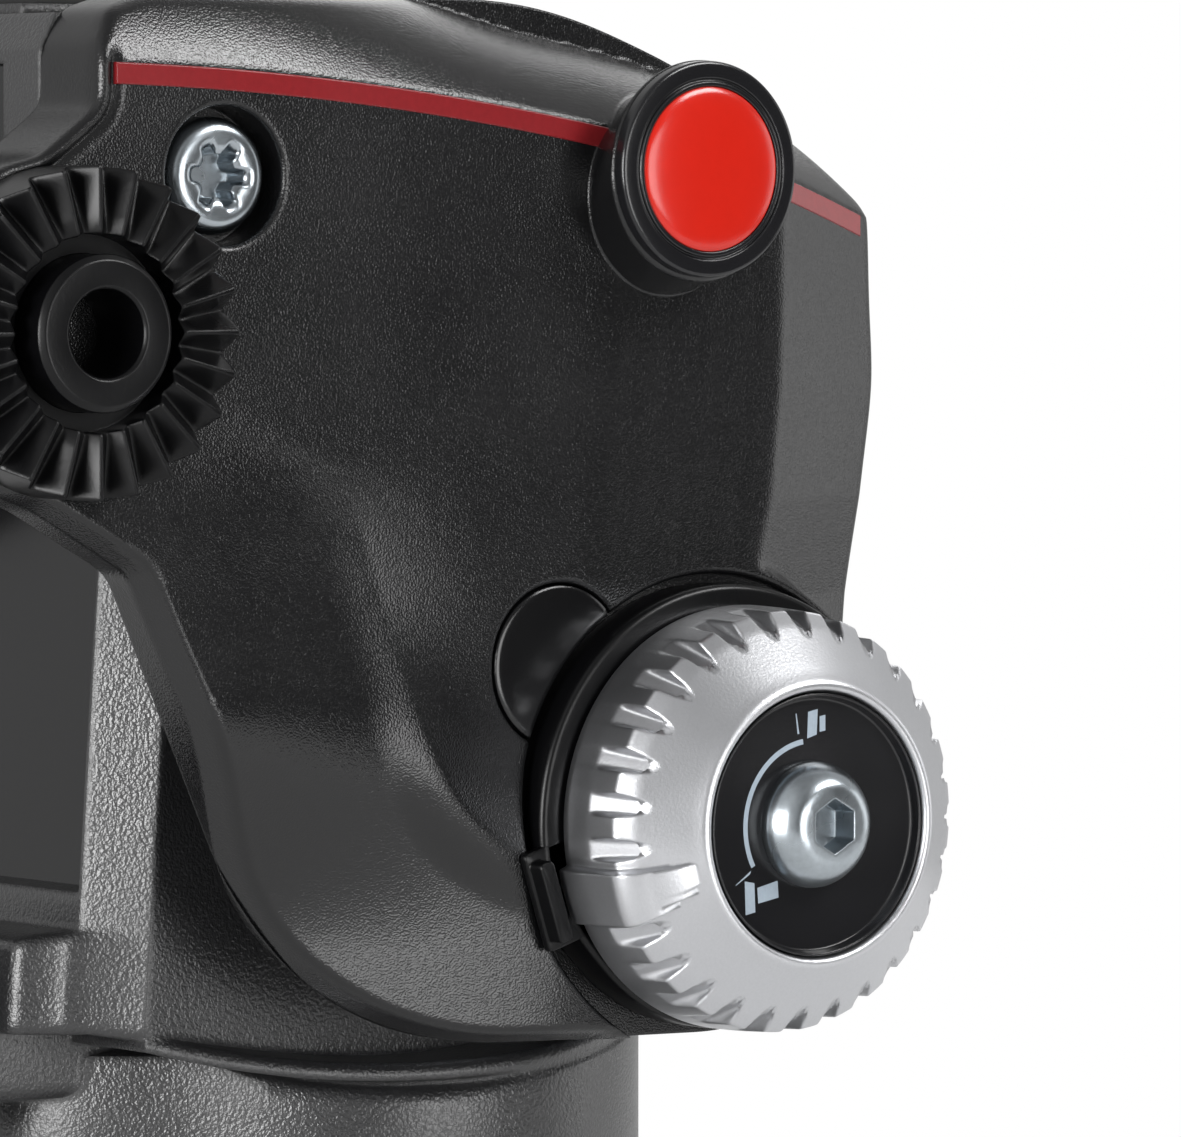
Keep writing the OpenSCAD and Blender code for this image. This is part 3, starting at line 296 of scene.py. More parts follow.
def ramp(x, low, high):
    """0 below low, 1 above high, with an eased rise between."""
    t = np.clip((x - low) / (high - low), 0, 1)
    return t * t * (3 - 2 * t)


def hinge(x, soft):
    """0 for negative x and x for positive x, joined by a bend of the given softness."""
    return soft * np.logaddexp(0, x / soft)


def polar(r, angle):
    """Point at a radius and an angle round the origin."""
    return np.stack([r * np.cos(angle), r * np.sin(angle)], -1)


def arc(centre, r, start, end, step=0.4):
    """Points of a circular arc; angles in degrees."""
    n = max(4, int(abs(math.radians(end - start)) * r / step))
    return centre + polar(r, np.radians(np.linspace(start, end, n + 1)))


def spline(points, n=16):
    """Smooth curve through the points: cubic spans whose slope at a point is that between its neighbours."""
    p = np.asarray(points, float)
    p = np.concatenate([2 * p[:1] - p[1:2], p, 2 * p[-1:] - p[-2:-1]])
    t = np.linspace(0, 1, n, endpoint=False)[None, :, None]
    p0, p1, p2, p3 = (p[k:len(p) - 3 + k, None] for k in range(4))
    curve = 0.5 * (2 * p1 + (p2 - p0) * t + (2 * p0 - 5 * p1 + 4 * p2 - p3) * t ** 2
                   + (3 * p1 - p0 - 3 * p2 + p3) * t ** 3)
    return np.concatenate([curve.reshape(-1, p.shape[1]), p[-2:-1]])


def eased(points, setback, steps=5):
    """Polyline with rounded corners: a parabola between the points that lie a setback from each corner."""
    p = np.asarray(points, float)
    back = np.broadcast_to(setback, len(p))[1:-1, None, None]
    t = np.linspace(0, 1, steps)[None, :, None]
    before, corner, after = p[:-2, None], p[1:-1, None], p[2:, None]

    def toward(q):
        """Point a setback from the corner on the way to q, at most halfway."""
        reach = np.linalg.norm(q - corner, axis=-1, keepdims=True)
        return corner + (q - corner) * np.minimum(0.5, back / np.maximum(reach, 1e-9))

    curve = (1 - t) ** 2 * toward(before) + 2 * t * (1 - t) * corner + t ** 2 * toward(after)
    return np.concatenate([p[:1], curve.reshape(-1, p.shape[1]), p[-1:]])


def along(points, step):
    """Polyline resampled at even steps."""
    p = np.asarray(points, float)
    run = np.concatenate([[0], np.cumsum(np.linalg.norm(np.diff(p, axis=0), axis=1))])
    at = np.linspace(0, run[-1], max(2, int(round(run[-1] / step)) + 1))
    return np.stack([np.interp(at, run, p[:, k]) for k in range(p.shape[1])], -1)


def turned(profile, centre=AXIS, turns=120):
    """Surface of a profile (radius, x) turned about a line along X through the centre (y, z)."""
    r, x = np.asarray(profile, float).T
    t = np.linspace(0, TAU, turns + 1)[:, None]
    return np.stack([x + 0 * t, centre[0] + r * np.cos(t), centre[1] + r * np.sin(t)], -1)


def beside(points, loop):
    """Distance of points to a closed loop, the nearest loop point's number, and whether they lie inside."""
    nxt = np.roll(loop, -1, 0)
    away, near, inside = [], [], []
    for part in np.array_split(points, max(1, len(points) // 3000)):
        px, py = part[:, :1], part[:, 1:]
        k = np.hypot(px - loop[:, 0], py - loop[:, 1]).argmin(1)
        best = np.full(len(part), 1e9)
        for i in (k - 1, k):
            s, e = loop[i], nxt[i]
            t = np.clip(((part - s) * (e - s)).sum(1) / ((e - s) ** 2).sum(1), 0, 1)[:, None]
            best = np.minimum(best, np.linalg.norm(part - s - t * (e - s), axis=1))
        rise = nxt[:, 1] - loop[:, 1]
        at = loop[:, 0] + (nxt[:, 0] - loop[:, 0]) * (py - loop[:, 1]) / np.where(rise == 0, 1e-9, rise)
        crossed = ((loop[:, 1] > py) != (nxt[:, 1] > py)) & (px < at)
        away.append(best)
        near.append(k)
        inside.append(crossed.sum(1) % 2 == 1)
    return np.concatenate(away), np.concatenate(near), np.concatenate(inside)


def filled(loops, inner):
    """Triangulates the plane over closed loops, whose edges are kept, and over loose inner points."""
    points, edges, start = [], [], 0
    for loop in loops:
        i = np.arange(len(loop))
        edges.append(np.stack([i, np.roll(i, -1)], -1) + start)
        points.append(loop)
        start += len(loop)
    every = np.concatenate(points + [inner])
    kept = np.concatenate(edges).tolist()
    verts, _, faces, _, _, _ = delaunay_2d_cdt(every.tolist(), kept, [], 0, 1e-5, False)
    return np.array(verts), np.array(faces)


def make(name, parts, body, finish, stands_for=(), crease=35, mirror=False):
    """One piece from grids of points (rows, columns, xyz) and pairs of points and triangles.
    Edges that meet are welded, faces are turned outward, and corners above the crease angle stay crisp."""
    blocks, faces, start = [], [], 0
    for part in parts:
        if isinstance(part, tuple):
            points, cells = part
        else:
            rows, columns = part.shape[:2]
            points = part.reshape(-1, 3)
            i = np.arange(rows - 1)[:, None] * columns + np.arange(columns - 1)
            cells = np.stack([i, i + 1, i + columns + 1, i + columns], -1).reshape(-1, 4)
        blocks.append(points)
        faces += (cells + start).tolist()
        start += len(points)
    every = np.concatenate(blocks) * MM * ([-1, 1, 1] if mirror else [1, 1, 1])
    mesh = bpy.data.meshes.new(name)
    mesh.from_pydata(every.tolist(), [], faces)
    work = bmesh.new()
    work.from_mesh(mesh)
    bmesh.ops.remove_doubles(work, verts=work.verts, dist=2e-6)
    bmesh.ops.dissolve_degenerate(work, edges=work.edges, dist=1e-7)
    bmesh.ops.recalc_face_normals(work, faces=work.faces)
    work.to_mesh(mesh)
    work.free()
    mesh.shade_smooth()
    mesh.set_sharp_from_angle(angle=math.radians(crease))
    mesh.materials.append(finish)
    piece = bpy.data.objects.new(name, mesh)
    bpy.context.scene.collection.objects.link(piece)
    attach(piece, body)
    if stands_for:
        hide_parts(*stands_for)


def raised(p, x):
    """Side-view points lifted to the height x, in the part's frame."""
    return np.stack([x + 0 * p[..., 0], p[..., 0] + AXIS[0], p[..., 1] + AXIS[1]], -1)


def fence(p, top, foot, rows=6):
    """Upright wall along a closed side-view loop, in even rows from its top to its foot."""
    t = np.linspace(0, 1, rows)[:, None]
    p = np.concatenate([p, p[:1]])
    top = np.append(top, top[0])
    foot = np.append(foot, foot[0]) if np.ndim(foot) else foot
    return raised(np.broadcast_to(p, (rows, *p.shape)), top + (foot - top) * t)


# Cheeks

CREASE_SLOPE, FACET_SLOPE, SHOULDER_R, EDGE_R = 0.055, 0.34, 24.0, 0.9
HEEL_SHIFT = np.array([1.4, 0])
NOTCH_REAR, NOTCH_FRONT, NOTCH_TOP = -56.6, -14.6, 60.2
# Front edge of the flat field, where the facet starts: a for five heights b
FACET_EDGE = ([17.9, 26.2, 36, 43, 52.7], [4.6, 6.7, 7.7, 7.9, 7.9])
# Middle of the boss's foot; its top is at the badge
BOSS_FOOT, BOSS_X = np.array([-4.9, 51.9]), 41.0
# Distances of the skin's extra rows of points from the cheek's edge and from its holes
EDGE_ROWS = (0.06, 0.18, 0.35, 0.6, 0.9, 1.3, 1.7, 2.05, 2.3, 2.6, 3.0)
RIM_ROWS = (0.05, 0.14, 0.27, 0.42, 0.7, 0.95, 1.2, 1.5)


def cheek_outline(notched):
    """Closed side-view edge of a cheek: low circle, front line, rear corner, lug and heel, softened by a
    Gaussian along the edge. The left cheek is cut down where the clamp lever lies."""
    f, h, rear = REACH_FRONT, RISE, -REACH_REAR
    front_line = spline([
        (LOW_R, 0.03 * h), (0.86 * f, 0.232 * h), (0.946 * f, 0.404 * h), (f, 0.524 * h),
        (0.977 * f, 0.632 * h), (0.955 * f, 0.738 * h), (0.9 * f, 0.765 * h), (0.56 * f, 0.844 * h),
        (-0.04 * f, 0.94 * h), (0.243 * rear, 0.997 * h), (0.557 * rear, h), (0.9 * rear, h)])
    rear_corner = [(0.967 * rear, 0.982 * h), (rear, 0.934 * h), (rear, 0.868 * h)]
    heel = HEEL + HEEL_SHIFT
    heel_end = heel + polar(HEEL_R, HEEL_TURN) + polar(HEEL_RUN, HEEL_TURN - math.pi / 2)
    loop = np.concatenate([
        arc(np.zeros(2), LOW_R, -90, -1), front_line, rear_corner, arc(LUG, LUG_R, 96, 262), [heel_end],
        arc(heel, HEEL_R, math.degrees(HEEL_TURN), 270), [(0, -LOW_R)]])
    if notched:
        in_notch = (loop[:, 0] > NOTCH_REAR) & (loop[:, 0] < NOTCH_FRONT)
        loop[in_notch, 1] = np.minimum(loop[in_notch, 1], NOTCH_TOP)
    fine, spread, pace = 0.15, 0.8, 0.45
    loop = along(loop, fine)[:-1]
    wave = np.fft.fft(loop[:, 0] + 1j * loop[:, 1])
    damping = np.exp(-2 * (math.pi * np.fft.fftfreq(len(loop), fine) * spread) ** 2)
    wave = np.fft.ifft(wave * damping)
    soft = np.stack([wave.real, wave.imag], -1)
    return along(np.concatenate([soft, soft[:1]]), pace)[:-1]


# S-shaped line on the cheek, from beside the lug down to the knob
FLANK_LINE = along(spline([
    (-56, 39.2), (-49.4, 35.9), (-45, 33.4), (-40.3, 30.6), (-37, 27), (-34.4, 20.6), (-31.9, 13.4),
    (-29.9, 7.5), (-26.6, 1.8), (-20.3, -2.6), (-13, -5.4)]), 0.3)


def shoulder_fall(p):
    """Fall of the shoulder above the stripe: a circle's arc, entered at a lean that grows from 20 degrees at
    the rear to 37 degrees at the front."""
    s = np.hypot(*(p - STRIPE_C).T) - STRIPE_R - 0.1
    lean = np.sin(np.radians(37 - 17 * ramp(-p[:, 0], 12, 48)))
    sine = np.clip(np.maximum(s, 0) / SHOULDER_R + lean, 0, 0.98)
    return np.where(s > 0, SHOULDER_R * (np.sqrt(1 - lean ** 2) - np.sqrt(1 - sine ** 2)), 0)


def flank_rise(p):
    """Rise of the flank beside the S-shaped line: a step that is below the face beside the lug and above it
    beside the knob. Its bend lies beyond the line at the top and before it further down. From the line on,
    the flank also sags: it twists to the front halfway up and turns to the rear towards the bottom."""
    a, b = p.T
    near = np.concatenate([np.hypot(q[:, :1] - FLANK_LINE[:, 0], q[:, 1:] - FLANK_LINE[:, 1]).argmin(1)
                           for q in np.array_split(p, max(1, len(p) // 4000))])
    course = np.gradient(FLANK_LINE, axis=0)
    course /= np.linalg.norm(course, axis=1, keepdims=True)
    d = p - FLANK_LINE[near]
    side = -(course[near, 0] * d[:, 1] - course[near, 1] * d[:, 0])
    step = 1.2 - 1.8 * ramp(b, 3, 21) + 0.2 * ramp(b, 19, 32) + 0.4 * ramp(b, 30, 40)
    wide = 8.5 + 2.5 * ramp(b, 8, 20)
    upper = ramp(b, 24.5, 33)
    before = np.clip((side + wide) / wide, 0, 1) ** (1.4 + 0.6 * ramp(b, 8, 16))
    after = 1 - (1 - np.clip(side / wide, 0, 1)) ** 2
    from_line = ramp(side, -0.2, 5)
    twist = 0.05 * (a + 40) * ramp(b, 2, 12) * (1 - ramp(b, 24, 33)) * from_line
    turn_in = 0.2 * ramp(-b, -12, 10) * hinge(-16 - a, 2.0) * from_line
    return step * (before * (1 - upper) + after * upper) - (twist + turn_in)


def cheek_height(p):
    """Height X of the cheek's skin over a side-view point: a flat rear field, a field turned in by three
    degrees from a soft crease on, and a facet at the front; less the shoulder's fall, plus the flank's
    rise."""
    a, b = p.T
    x = FACE_X - CREASE_SLOPE * hinge(a + 13.1 - 0.107 * (b - 21.7), 1.0)
    off_recess = ramp(np.hypot(a, b), RECESS_R + 0.6, RECESS_R + 1.5)
    x = x - FACET_SLOPE * hinge(a - np.interp(b, *FACET_EDGE), 0.25) * off_recess
    x = x - shoulder_fall(p)
    low = (a < -8) & (b < 40) & (np.hypot(*(p - LUG).T) > 2)
    x[low] += flank_rise(p[low])
    return x


def rim_drop(d, turn=0.4):
    """Fall of a rounded edge at a distance d from it: a quarter circle of the given radius."""
    return turn - np.sqrt(np.maximum(turn ** 2 - np.maximum(turn - d, 0) ** 2, 0))


def edge_drop(d, loop, near):
    """Fall of the skin towards the cheek's edge: a fillet all round, a steep chamfer along the heel,
    and a fine groove before the rear corner."""
    a, b = loop.T
    heel = ramp(-a, 9, 15) * (1 - ramp(b, 26.5, 29)) * (b < 40)
    rear = ramp(-a, 57, 60) * ramp(b, 52, 56) * (1 - ramp(b, 62, 65))
    chamfer = hinge(2.6 * (1.0 - d), 0.12)
    groove = rear[near] * 0.55 * np.exp(-((d - 1.3) / 0.4) ** 2)
    w = heel[near]
    return (1 - w) * rim_drop(d, EDGE_R) + w * chamfer + groove


def cheek_skin(p, loop, holes):
    """Height of the skin with its eased edges: the cheek's height less the drops at its edge and holes."""
    d, near, _ = beside(p, loop)
    x = cheek_height(p) - edge_drop(d, loop, near)
    for c, r in holes:
        x = x - rim_drop(np.maximum(np.hypot(*(p - c).T) - r, 0))
    return np.maximum(x, INNER_X + 0.3)


def cheek_cells(loop, inward, holes, rims):
    """Points and triangles of the skin's plane: rows along the edge and the holes, a lattice between."""
    rows = [loop + inward * d for d in EDGE_ROWS]
    for c, r in holes:
        rows += [arc(c, r + d, 0, 360, 0.35)[:-1] for d in RIM_ROWS]
    rows = np.concatenate(rows)
    away, _, inside = beside(rows, loop)
    depth = np.full(len(rows), 0.05)
    depth[:len(EDGE_ROWS) * len(loop)] = np.repeat(EDGE_ROWS, len(loop))
    rows = rows[inside & (away > depth - 0.03)]
    pitch = 0.42
    u, v = np.meshgrid(np.arange(-80, 24, pitch), np.arange(-19, 69, pitch), indexing="ij")
    lattice = np.stack([u, v + pitch / 2 * (np.arange(len(u)) % 2)[:, None]], -1).reshape(-1, 2)
    away, _, inside = beside(lattice, loop)
    lattice = lattice[inside & (away > EDGE_ROWS[-1] + 0.2)]
    free = np.all([np.hypot(*(lattice - c).T) > r + RIM_ROWS[-1] + 0.2 for c, r in holes], axis=0)
    points, cells = filled([loop] + rims, np.concatenate([rows, lattice[free]]))
    middle = points[cells].mean(1)
    solid = np.all([np.hypot(*(middle - c).T) > r for c, r in holes], axis=0)
    return points, cells[beside(middle, loop)[2] & solid]


def add_cheek(side, finish):
    """Cheek: its skin, walls from its edge and holes down to their floors, and its inner face, undercut along
    the heel so that the edge looks thin there."""
    left = side == "left"
    loop = cheek_outline(left)
    step = np.roll(loop, -1, 0) - np.roll(loop, 1, 0)
    inward = np.stack([-step[:, 1], step[:, 0]], -1) / np.linalg.norm(step, axis=1, keepdims=True)
    holes = [(np.zeros(2), RECESS_R), (CAP, CAP_R + 0.15), (SCREW, SEAT_R)]
    rims = [arc(c, r, 0, 360, 0.35)[:-1] for c, r in holes]
    recess_rim, cap_rim, seat_rim = rims
    points, cells = cheek_cells(loop, inward, holes, rims)
    top = np.where(np.hypot(*loop.T) < RECESS_R, RECESS_X, cheek_skin(loop, loop, holes))
    heel = ramp(-loop[:, 0], 12, 20) * (1 - ramp(loop[:, 1], 27, 32)) * (loop[:, 1] < 40)
    foot, under = INNER_X + 3.2 * heel, loop + inward * 6 * heel[:, None]
    ledge = np.stack([loop, under])
    ledge = raised(np.concatenate([ledge, ledge[:, :1]], 1), np.append(foot, foot[0]))
    parts = [(raised(points, cheek_skin(points, loop, holes)), cells), fence(loop, top, foot), ledge,
             fence(under, foot, INNER_X)]
    for rim, floor_x, in_skin in (
            (recess_rim, RECESS_X, np.hypot(*(recess_rim - CAP).T) > CAP_R),
            (cap_rim, RECESS_X - 1, np.hypot(*cap_rim.T) > RECESS_R),
            (seat_rim, SEAT_X, True)):
        lip = np.maximum(cheek_skin(rim, loop, holes), floor_x)
        parts.append(fence(rim, np.where(beside(rim, loop)[2] & in_skin, lip, floor_x), floor_x))
    floor, triangles = filled([loop, recess_rim], arc(np.zeros(2), 15, 0, 360, 1.0))
    middle = floor[triangles].mean(1)
    in_floor = beside(middle, loop)[2] & (np.hypot(*middle.T) < RECESS_R)
    parts.append((raised(floor, RECESS_X), triangles[in_floor]))
    back, triangles = filled([under], under[:1])
    parts.append((raised(back, INNER_X), triangles[beside(back[triangles].mean(1), under)[2]]))
    parts.append(turned([(SEAT_R, SEAT_X), (2.4, SEAT_X)], AXIS + SCREW))
    parts.append(badge_boss())
    make(f"{side}_cheek_shell", parts, "tilt_body", finish, [f"{side}_cheek"], mirror=left)


def badge_boss():
    """Boss under the badge: circles that grow and climb from the cheek's face to a rounded top."""
    r, x = eased([(8.3, 31), (8.3, FACE_X), (9.25, BOSS_X), (6.0, BOSS_X)], [0, 0.5, 0.6, 0]).T
    share = np.clip((x - FACE_X) / (BOSS_X - FACE_X), 0, 1)
    a, b = BOSS_FOOT[:, None] + (BADGE - BOSS_FOOT)[:, None] * share
    t = np.linspace(0, TAU, 121)[:, None]
    return np.stack([x + 0 * t, AXIS[0] + a + r * np.cos(t), AXIS[1] + b + r * np.sin(t)], -1)


def add_stripe(side, finish):
    """Stripe: a band along an arc, laid on the cheek's skin with lifted, rounded long edges."""
    left = side == "left"
    rear, front = -20.8 if left else -59.6, 19.6
    sunk, proud, ease = 0.6, 0.1, 0.08
    a = np.linspace(rear, front, 200)
    across = np.array([-STRIPE_H, -STRIPE_H, -STRIPE_H + ease, -STRIPE_H / 2, -ease, 0, 0])
    lift = np.array([-sunk, 0, proud, proud, proud, 0, -sunk])
    r = (STRIPE_R + across)[None, :]
    b = STRIPE_C[1] + np.sqrt(r ** 2 - (a[:, None] - STRIPE_C[0]) ** 2)
    p = np.stack([np.broadcast_to(a[:, None], b.shape), b], -1)
    x = cheek_height(p.reshape(-1, 2)).reshape(b.shape) + lift
    x = np.concatenate([x[:1] - sunk, x, x[-1:] - sunk])
    p = np.concatenate([p[:1], p, p[-1:]])
    make(f"{side}_stripe_band", [raised(p, x)], "tilt_body", finish, [f"{side}_stripe"],
         mirror=left)


def add_cap(side, finish):
    """Flush cap: rays from a point inside it, each as long as the way to the cap's circle or, where that
    comes first, to the circle of the knob's recess; the skin's height less a rounded drop at the rim."""
    left = side == "left"
    middle = CAP * 1.12
    t = np.linspace(0, TAU, 161)
    way = polar(1, t)
    off = middle - CAP
    half = (way * off).sum(1)
    reach = -half + np.sqrt(half ** 2 - (off ** 2).sum() + CAP_R ** 2)
    near = (way * middle).sum(1)
    room = near ** 2 - (middle ** 2).sum() + (RECESS_R + 0.15) ** 2
    meets = (room > 0) & (near < 0)
    reach = np.where(meets, np.minimum(reach, -near - np.sqrt(np.maximum(room, 0))), reach)
    s = np.array([0, 0.4, 0.7, 0.9, 0.96, 0.985, 1, 1, 1])
    drop = np.array([0, 0, 0, 0, 0.03, 0.1, 0.3, 1.0, 2.4])
    p = middle + way[None] * (reach[None] * s[:, None])[..., None]
    x = cheek_height(p.reshape(-1, 2)).reshape(p.shape[:2]) - drop[:, None] - 0.02
    make(f"{side}_cap_disc", [raised(p, x)], "tilt_body", finish, [f"{side}_flush_cap"],
         mirror=left)


def add_badge(side, film, resin):
    """Badge: a turned black ring with a fine groove, round a bare glossy dome whose section is an ellipse."""
    left = side == "left"
    centre = AXIS + BADGE
    ring = eased([(8.95, BOSS_X), (8.95, 42.1), (7.55, 42.15), (7.45, 41.95), (7.3, 41.95), (7.2, 42.2),
                  (6.85, 42.2), (6.85, 41.3), (0, 41.3)], [0, 0.35, 0.05, 0.03, 0.03, 0.05, 0.08, 0.1, 0])
    make(f"{side}_badge_ring_turned", [turned(ring, centre, 144)], "tilt_body", film,
         [f"{side}_badge_ring"], mirror=left)
    dome_r, dome_h, rim_x = 6.8, 0.6, 42.1
    t = np.linspace(0, 1, 14) ** 0.7
    dome = np.stack([dome_r * np.cos(t * math.pi / 2), rim_x + dome_h * np.sin(t * math.pi / 2)], -1)
    dome = np.concatenate([[(dome_r, 41.4)], dome])
    make(f"{side}_badge_dome_turned", [turned(dome, centre, 144)], "tilt_body", resin,
         [f"{side}_badge_dome"], mirror=left)


# Handle rosettes and screws

ROSETTE_TEETH, TOOTH_X, ROSETTE_FLOOR = 24, 42.05, 39.2


def add_rosette(side, finish):
    """Rosette: radial teeth whose flanks fall from a narrow crest to a groove that deepens outward, and a
    turned hub in the middle."""
    left = side == "left"
    centre = AXIS + LUG
    turns = ROSETTE_TEETH * 20
    t = np.linspace(0, TAU, turns + 1)
    phase = np.abs((t * ROSETTE_TEETH / TAU + 0.5) % 1 - 0.5) * 2
    fall = np.clip((phase - 0.1) / 0.84, 0, 1)
    r = np.array([7.85, 7.85, 7.9, 8.1, 9.4, 10.8, 12.0, 12.9, 13.1, 13.2, 13.2, 13.2])
    ease = np.array([0, 0, 0.12, 0, 0, 0, 0, 0, 0.04, 0.15, 0, 0])
    x = TOOTH_X - ease[:, None] - (0.5 + 1.9 * (r[:, None] - 7) / 6.2) * fall
    x[0] = ROSETTE_FLOOR
    x[1] = np.minimum(x[2] - 0.15, TOOTH_X - 0.25)
    x[-2] = ROSETTE_FLOOR - 0.2
    x[-1] = FACE_X
    y, z = centre[0] + r[:, None] * np.cos(t), centre[1] + r[:, None] * np.sin(t)
    floor = turned([(7.85, ROSETTE_FLOOR), (6.3, ROSETTE_FLOOR)], centre, turns)
    make(f"{side}_rosette_teeth", [np.stack([x, y, z], -1), floor], "tilt_body", finish,
         [f"{side}_rosette"], crease=28, mirror=left)
    hub = eased([(6.25, FACE_X), (6.25, 42.6), (5.75, 43.05), (3.75, 43.05), (3.5, 42.8), (3.5, INNER_X),
                 (6.25, INNER_X), (6.25, FACE_X)], [0, 0.12, 0.1, 0.08, 0.08, 0.1, 0.1, 0])
    make(f"{side}_rosette_hub", [turned(hub, centre)], "tilt_body", finish,
         [f"{side}_rosette_bush"], crease=50, mirror=left)


def socket_head(centre, profile, socket_r, floor_x, turns=240):
    """Screw head: rings that change from the socket's outline to the round head, and the socket's wall and
    floor, which are the outline drawn smaller."""
    t = np.linspace(0, TAU, turns + 1)
    edge = socket_r(t)
    r, x = np.asarray(profile, float).T
    blend = ramp(r, r[0], r[0] + 1.1)[:, None]
    rings = edge * (1 - blend) * r[:, None] / r[0] + r[:, None] * blend
    inner = np.stack([edge * 0.02, edge * 0.6, edge * 0.93, edge * 0.96, edge])
    inner_x = np.array([floor_x, floor_x, floor_x, floor_x + 0.1, x[0] - 0.06])
    rings = np.concatenate([inner, rings])
    x = np.concatenate([inner_x, x])[:, None]
    return np.stack([x + 0 * t, centre[0] + rings * np.cos(t), centre[1] + rings * np.sin(t)], -1)


def six_lobe(t):
    """Six-lobe socket edge: a steepened cosine wave, 2.5 mm out at the lobes and 1.8 mm between them."""
    return 2.13 + 0.37 * np.tanh(2.2 * np.cos(6 * t + 0.35)) / math.tanh(2.2)


def hexagon(t):
    """Hexagon socket edge, 4 mm across its flats, corners slightly eased."""
    u = (t + TAU / 12) % (TAU / 6) - TAU / 12
    return np.minimum(2.0 / np.cos(u), 2.27)


def add_cheek_screws(side, finish):
    """Pan-head screws: a turned dome with a stamped ring round its socket; the second is under the badge."""
    left = side == "left"
    shown, hidden = AXIS + SCREW, AXIS + BADGE
    head = eased([(2.55, 34.75), (2.95, 35.1), (3.35, 35.22), (4.1, 35.05), (4.75, 34.2), (4.75, SEAT_X),
                  (0.2, SEAT_X)], [0, 0.15, 0.3, 0.4, 0.5, 0.05, 0])
    plain_head = eased([(0.2, 36), (2.6, 36), (4.6, 35.4), (4.6, SEAT_X), (0.2, SEAT_X)], 0.3)
    shank = [(2.5, SEAT_X), (2.5, 20)]
    make(f"{side}_cheek_screw_heads", [
        socket_head(shown, head, six_lobe, SEAT_X + 0.6), turned(plain_head, hidden), turned(shank, shown),
        turned(shank, hidden)], "tilt_body", finish, [f"{side}_cheek_screws"], crease=50,
        mirror=left)


# Tilt drag knob

SCOOPS, SCOOP_HALF, TAB = 29, 0.92, math.radians(198)
KNOB_R, KNOB_REAR, DISC_X = 17.0, 38.3, 49.2
TAB_OUT, TAB_UP = 0.9, 1.0
PRINT_X = DISC_X + 0.015


def knob_profile(scooped):
    """Knob section (radius, x) from the rear edge over the side, the corner and the cone to the lip; a scoop
    takes the corner off along its straight floor."""
    corner = [(17.66, 41.6), (17.62, 42.1), (15.75, 46.9), (15.45, 47.313)] if scooped else [
        (17.7, 41.6), (17.68, 42.1), (17.5, 45.4), (16.35, 46.6)]
    profile = [(16.6, KNOB_REAR), (17.6, 38.4), (17.75, 39.2)] + corner + [
        (12.5, 49.65), (11.75, 50.3), (11.2, 50.3), (10.95, 49.7), (10.9, 48.6), (4.2, 48.6)]
    return eased(profile, [0, 0.3, 0.3, 0.2, 0.25, 0.35, 0.45, 0.5, 0.35, 0.25, 0.25, 0.2, 0], 9)


def guard_block(near, far, half, x0, x1):
    """Block beside the knob's tab: a plan with rounded corners, carried from x0 to x1, its top drawn in."""
    plan = eased([(near, 0), (near, -half), (far, -half), (far, half), (near, half), (near, 0)], 0.5)
    middle = np.array([(near + far) / 2, 0])
    size = np.array([0, 1, 1, 0.985, 0.95, 0])[:, None, None]
    u, v = np.moveaxis(middle + (plan - middle) * size, -1, 0)
    x = np.array([x0, x0, x1 - 0.25, x1 - 0.08, x1, x1])[:, None] + 0 * u
    return np.stack([x, AXIS[0] + u * math.cos(TAB) - v * math.sin(TAB),
                     AXIS[1] + u * math.sin(TAB) + v * math.cos(TAB)], -1)


def add_guard(finish):
    """Guard behind the knob: a turned ring, drawn in by 1.6 mm along the bottom, with a stepped block."""
    r, x = eased([(9.5, 34), (19.4, 34), (19.4, 38), (9.5, 38), (9.5, 34)], [0, 0.1, 0.6, 0.1, 0]).T
    t = np.linspace(0, TAU, 181)[:, None]
    r = r - 1.6 * ramp(-np.sin(t), 0.1, 0.7) * (r > 15)
    ring = np.stack([x + 0 * t, AXIS[0] + r * np.cos(t), AXIS[1] + r * np.sin(t)], -1)
    blocks = [guard_block(13.4, 20.9, 4.3, 37.3, 38.0), guard_block(19.3, 20.7, 3.5, 37.85, 39.6)]
    make("knob_guard_ring", [ring, *blocks], "tilt_body", finish, ["knob_guard"])


